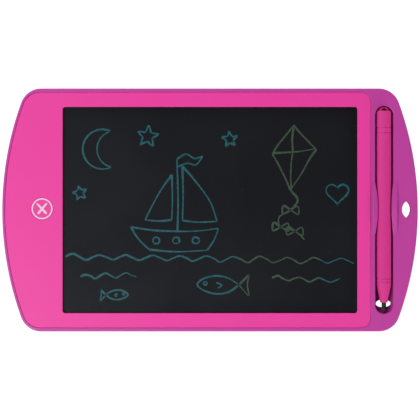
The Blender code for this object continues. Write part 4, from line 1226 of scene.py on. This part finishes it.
def sketch_line(start, end, wobble=0.5):
    """A nearly straight stroke with a little unsteadiness."""
    start, end = Vector(start), Vector(end)
    run = end - start
    side = Vector((-run.y, run.x)).normalized()
    count = max(2, round(run.length / line_point_spacing))
    points = [start + run * step / count for step in range(count + 1)]
    return [point + side * pen_hand.uniform(-wobble, wobble) for point in points]


def sketch_loop(centre, reach_x, reach_y, wobble):
    """A round stroke that overlaps where it closes."""
    start = pen_hand.uniform(0, 2 * math.pi)
    points = []
    for step in range(loop_points + 1):
        angle = start + (2 * math.pi + loop_overlap) * step / loop_points
        x = centre[0] + (reach_x + pen_hand.uniform(-wobble, wobble)) * math.cos(angle)
        y = centre[1] + (reach_y + pen_hand.uniform(-wobble, wobble)) * math.sin(angle)
        points.append((x, y))
    return points


def polygon_strokes(corners, wobble=0.5):
    return [sketch_line(a, b, wobble) for a, b in zip(corners, corners[1:] + corners[:1])]


def star_strokes(centre, reach):
    """A five-pointed star of ten short strokes."""
    corners = []
    tilt = pen_hand.uniform(-star_tilt, star_tilt)
    for corner in range(10):
        radius = reach if corner % 2 == 0 else star_waist * reach
        angle = math.pi / 2 + tilt + corner * math.pi / 5
        corners.append((centre[0] + radius * math.cos(angle), centre[1] + radius * math.sin(angle)))
    return polygon_strokes(corners, star_wobble)


def boat_strokes():
    """A sailing boat: hull with portholes, mast with a pennant, and two sails."""
    strokes = [
        [(-56, -12), (-38, -14.5), (-12, -15), (6, -13)],
        [(-56, -12), (-51, -20), (-43, -28)],
        [(-43, -28), (-24, -29.5), (-2, -28.5)],
        [(-2, -28.5), (3, -21), (6, -13)],
        [(-23, -15), (-22.6, 8), (-23.4, 36)],
        [(-19.5, 31), (-10, 20), (0, 6), (5, -8)],
        [(-19.5, 31), (-19, 10), (-19.5, -7.5)],
        [(-19.5, -7.5), (-8, -8.6), (5, -8)],
        [(-27, 25), (-36, 12), (-46, -7)],
        [(-27, 25), (-26.6, 8), (-27, -7)],
        [(-27, -7), (-36, -7.8), (-46, -7)],
        [(-23.4, 36), (-17, 39.5), (-11, 36.5), (-5, 38)],
        [(-23, 30.5), (-16, 33), (-10, 32), (-5, 38)],
    ]
    for x in (-38, -24, -10):
        strokes.append(sketch_loop((x, -21.5), 2.4, 2.3, wobble=0.15))
    return strokes


def wave_stroke(start, end, height, length):
    """A row of waves between two points."""
    run_x, run_y = end[0] - start[0], end[1] - start[1]
    count = max(3, round(run_x / (length / 4)))
    points = []
    for step in range(count + 1):
        share = step / count
        rise = height * wave_rises[step % 4] * pen_hand.uniform(wave_least, wave_most)
        x = start[0] + run_x * share + pen_hand.uniform(-wave_shift, wave_shift)
        points.append((x, start[1] + run_y * share + rise))
    return points


def moon_stroke(centre, radius):
    outer = arc(centre, radius, moon_start, moon_end, moon_steps)
    inner_centre = (centre[0] + moon_bite_share * radius, centre[1])
    reach = math.dist(inner_centre, outer[0])
    turn = math.acos((outer[0][0] - inner_centre[0]) / reach)
    inner = arc(inner_centre, reach, 2 * math.pi - turn, turn, moon_bite_steps)
    return outer + inner[1:]


def fish_strokes(centre, reach, facing):
    """A fish drawn in one crossing stroke, with an eye and a fin."""
    strokes = []
    for points in (fish_body, fish_fin):
        strokes.append([(centre[0] + facing * x * reach, centre[1] + y * reach) for x, y in points])
    eye = (centre[0] - facing * fish_eye[0] * reach, centre[1] + fish_eye[1] * reach)
    strokes.append(sketch_loop(eye, fish_eye_radius * reach, fish_eye_radius * reach, wobble=0))
    return strokes


def kite_strokes():
    """A kite: a diamond with two spars and a waving tail tied with three bows."""
    top, right, bottom, left = (59, 60), (75, 43), (57, 14), (44, 40)
    strokes = polygon_strokes([top, right, bottom, left])
    strokes += [sketch_line(top, bottom), sketch_line(left, right)]
    tail = [bottom, (62, 7), (57, 0), (49, -5), (50, -12), (60, -15), (67, -21)]
    strokes.append(tail)
    for x, y in (tail[2], tail[4], tail[5]):
        strokes.append([(x + across, y + up) for across, up in kite_bow])
    return strokes


def heart_stroke(centre, reach):
    points = []
    for step in range(heart_steps + 1):
        t = 2 * math.pi * step / heart_steps
        rise = 13 * math.cos(t) - 5 * math.cos(2 * t) - 2 * math.cos(3 * t) - math.cos(4 * t)
        points.append((centre[0] + reach * math.sin(t) ** 3, centre[1] + reach * rise / 16))
    return points


def drawing_strokes():
    strokes = boat_strokes()
    strokes.append(moon_stroke((-76, 43), 14))
    for centre, reach in (((-44, 52), 8), ((-92, 12), 5.5), ((14, 50), 6)):
        strokes += star_strokes(centre, reach)
    strokes.append(wave_stroke((-102, -33), (102, -36), 2.0, 19))
    strokes.append(wave_stroke((-92, -47), (-52, -46), 1.6, 15))
    strokes.append(wave_stroke((44, -48), (92, -50), 1.6, 15))
    strokes += fish_strokes((6, -53), 15, 1)
    strokes += fish_strokes((-66, -60), 8, -1)
    strokes += kite_strokes()
    strokes.append(heart_stroke((90, 12), 8))
    return strokes


def add_ribbon(bm, path, height):
    """A flat stroke with round ends and a slightly uneven width."""
    steps = [(b - a).length for a, b in zip(path, path[1:])]
    whole = sum(steps)
    wave = pen_hand.uniform(0, 2 * math.pi)
    rings = []
    for index, point in enumerate(path):
        gone = sum(steps[:index])
        ahead, behind = path[min(index + 1, len(path) - 1)], path[max(index - 1, 0)]
        run = (ahead - behind).normalized()
        side = Vector((-run.y, run.x))
        from_end = min(gone, whole - gone, stroke_width / 2)
        cap = math.sqrt(max(stroke_end_share, 1 - (1 - 2 * from_end / stroke_width) ** 2))
        sway = slow_sway * math.sin(wave + gone / slow_sway_length)
        sway += quick_sway * math.sin(gone / quick_sway_length)
        pressure = first_pressure - pressure_fall * gone / whole + sway
        reach = side * stroke_width / 2 * cap * pressure
        ring = []
        for corner, z in ((point + reach, 1), (point - reach, 1), (point - reach, 0), (point + reach, 0)):
            x, y = window_x + corner.x * millimetre, corner.y * millimetre
            ring.append((x, y, film_high.z + height + z * stroke_thickness))
        rings.append(ring)
    add_skin(bm, rings)


def make_drawing():
    """Every stroke of the drawing, as thin ribbons on the film."""
    bm = bmesh.new()
    for number, stroke in enumerate(drawing_strokes(), 1):
        add_ribbon(bm, smooth_path(stroke), number * stroke_lift)
    drawing = new_piece("drawn_lines", bm)
    drawing.data.materials.append(drawn_line)
    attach(drawing, "case")


def dress_nodes():
    """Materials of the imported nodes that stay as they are."""
    black_parts = ["flex_connector", "driver_chip", "switch_body", "switch_plunger", "lock_switch_body"]
    for material, nodes in (
        (writing_film, ["lcd_film"]),
        (adhesive_tape, ["film_tape_frame"]),
        (backing_sheet, ["backing_board"]),
        (amber_film, ["film_contact_tail"]),
        (board_green, ["circuit_board"]),
        (black_plastic, black_parts),
        (steel, ["coin_cell", "battery_contact_negative", "battery_contact_positive"]),
        (copper, ["boost_coil"]),
        (ceramic_tan, ["capacitor_1", "capacitor_2"]),
    ):
        for name in nodes:
            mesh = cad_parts[name].data
            mesh.materials.clear()
            mesh.materials.append(material)


make_case_shell()
make_bezel_cover()
make_clip_piece("clip_left", "pen_clip_left", -1)
make_clip_piece("clip_right", "pen_clip_right", 1)
make_button_pieces()
make_stylus_pieces()
make_screw_pieces()
make_door_piece()
make_lock_piece()
make_drawing()
dress_nodes()


# Floor, light and camera

floor_reach = 3.0
photo_side = 420
pixel_size = 0.0007054
light_distance = 1.5
camera_height = 1.05
sensor_width = 36.0


def make_floor():
    """A plain pale floor, with a glow of its own so that it stays white up to the case."""
    material, tree, shader, place = new_surface("pale_floor")
    paper = placed(tree, mould_grain, {"Place": place, "Grain Scale": 900.0, "Blotch Scale": 4.0})
    paper_white = mix_colours(tree, paper["Blotch"], (0.5, 0.5, 0.5), (0.48, 0.48, 0.48))
    seen = add(tree, "LightPath").outputs["Is Camera Ray"]
    colour = mix_colours(tree, seen, paper_white, (0.16, 0.16, 0.16))
    glow = mix_colours(tree, seen, (0, 0, 0), (1, 1, 1))
    shader.inputs["Specular IOR Level"].default_value = 0.0
    shader.inputs["Emission Strength"].default_value = 1.0
    feed(tree, glow, shader.inputs["Emission Color"])
    set_surface(tree, shader, colour, 0.9)
    bm = bmesh.new()
    bmesh.ops.create_grid(bm, x_segments=8, y_segments=8, size=floor_reach)
    floor = new_piece("floor", bm)
    floor.location.z = -flare_lift
    floor.data.materials.append(material)


def add_light(name, azimuth, elevation, size, power, mirrored=False):
    """A soft light aimed at the tablet from an azimuth and elevation, mirrored in gloss or not."""
    lamp = bpy.data.lights.new(name, "AREA")
    lamp.shape = "RECTANGLE"
    lamp.size, lamp.size_y = size
    lamp.energy = power
    turn, rise = math.radians(azimuth), math.radians(elevation)
    away = Vector((math.cos(turn) * math.cos(rise), math.sin(turn) * math.cos(rise), math.sin(rise)))
    light = bpy.data.objects.new(name, lamp)
    light.location = away * light_distance
    light.rotation_euler = away.to_track_quat("Z", "Y").to_euler()
    light.visible_glossy = mirrored
    bpy.context.scene.collection.objects.link(light)


def make_lights():
    add_light("key_light", 222, 52, (1.0, 1.0), 17.2, mirrored=True)
    add_light("left_strip", 180, 10, (1.4, 0.5), 6.5)
    add_light("front_right_strip", 305, 13, (1.4, 0.4), 23)
    add_light("back_right_strip", 60, 12, (1.4, 0.4), 12)
    add_light("back_left_fill", 120, 30, (1.0, 1.0), 13.5)
    world = bpy.data.worlds.new("studio")
    world.use_nodes = True
    background = world.node_tree.nodes["Background"]
    background.inputs["Color"].default_value = (1, 1, 1, 1)
    background.inputs["Strength"].default_value = 0.02
    bpy.context.scene.world = world


def make_camera():
    """Straight above the tablet, with the photograph's own width of view at the bezel's face."""
    lens_data = bpy.data.cameras.new("camera")
    lens_data.sensor_width = sensor_width
    lens_data.lens = sensor_width * camera_height / (photo_side * pixel_size)
    camera = bpy.data.objects.new("camera", lens_data)
    camera.location = (0, 0, case_height + camera_height)
    bpy.context.scene.collection.objects.link(camera)
    bpy.context.scene.camera = camera


make_floor()
make_lights()
make_camera()
bpy.context.scene.view_settings.view_transform = "Standard"
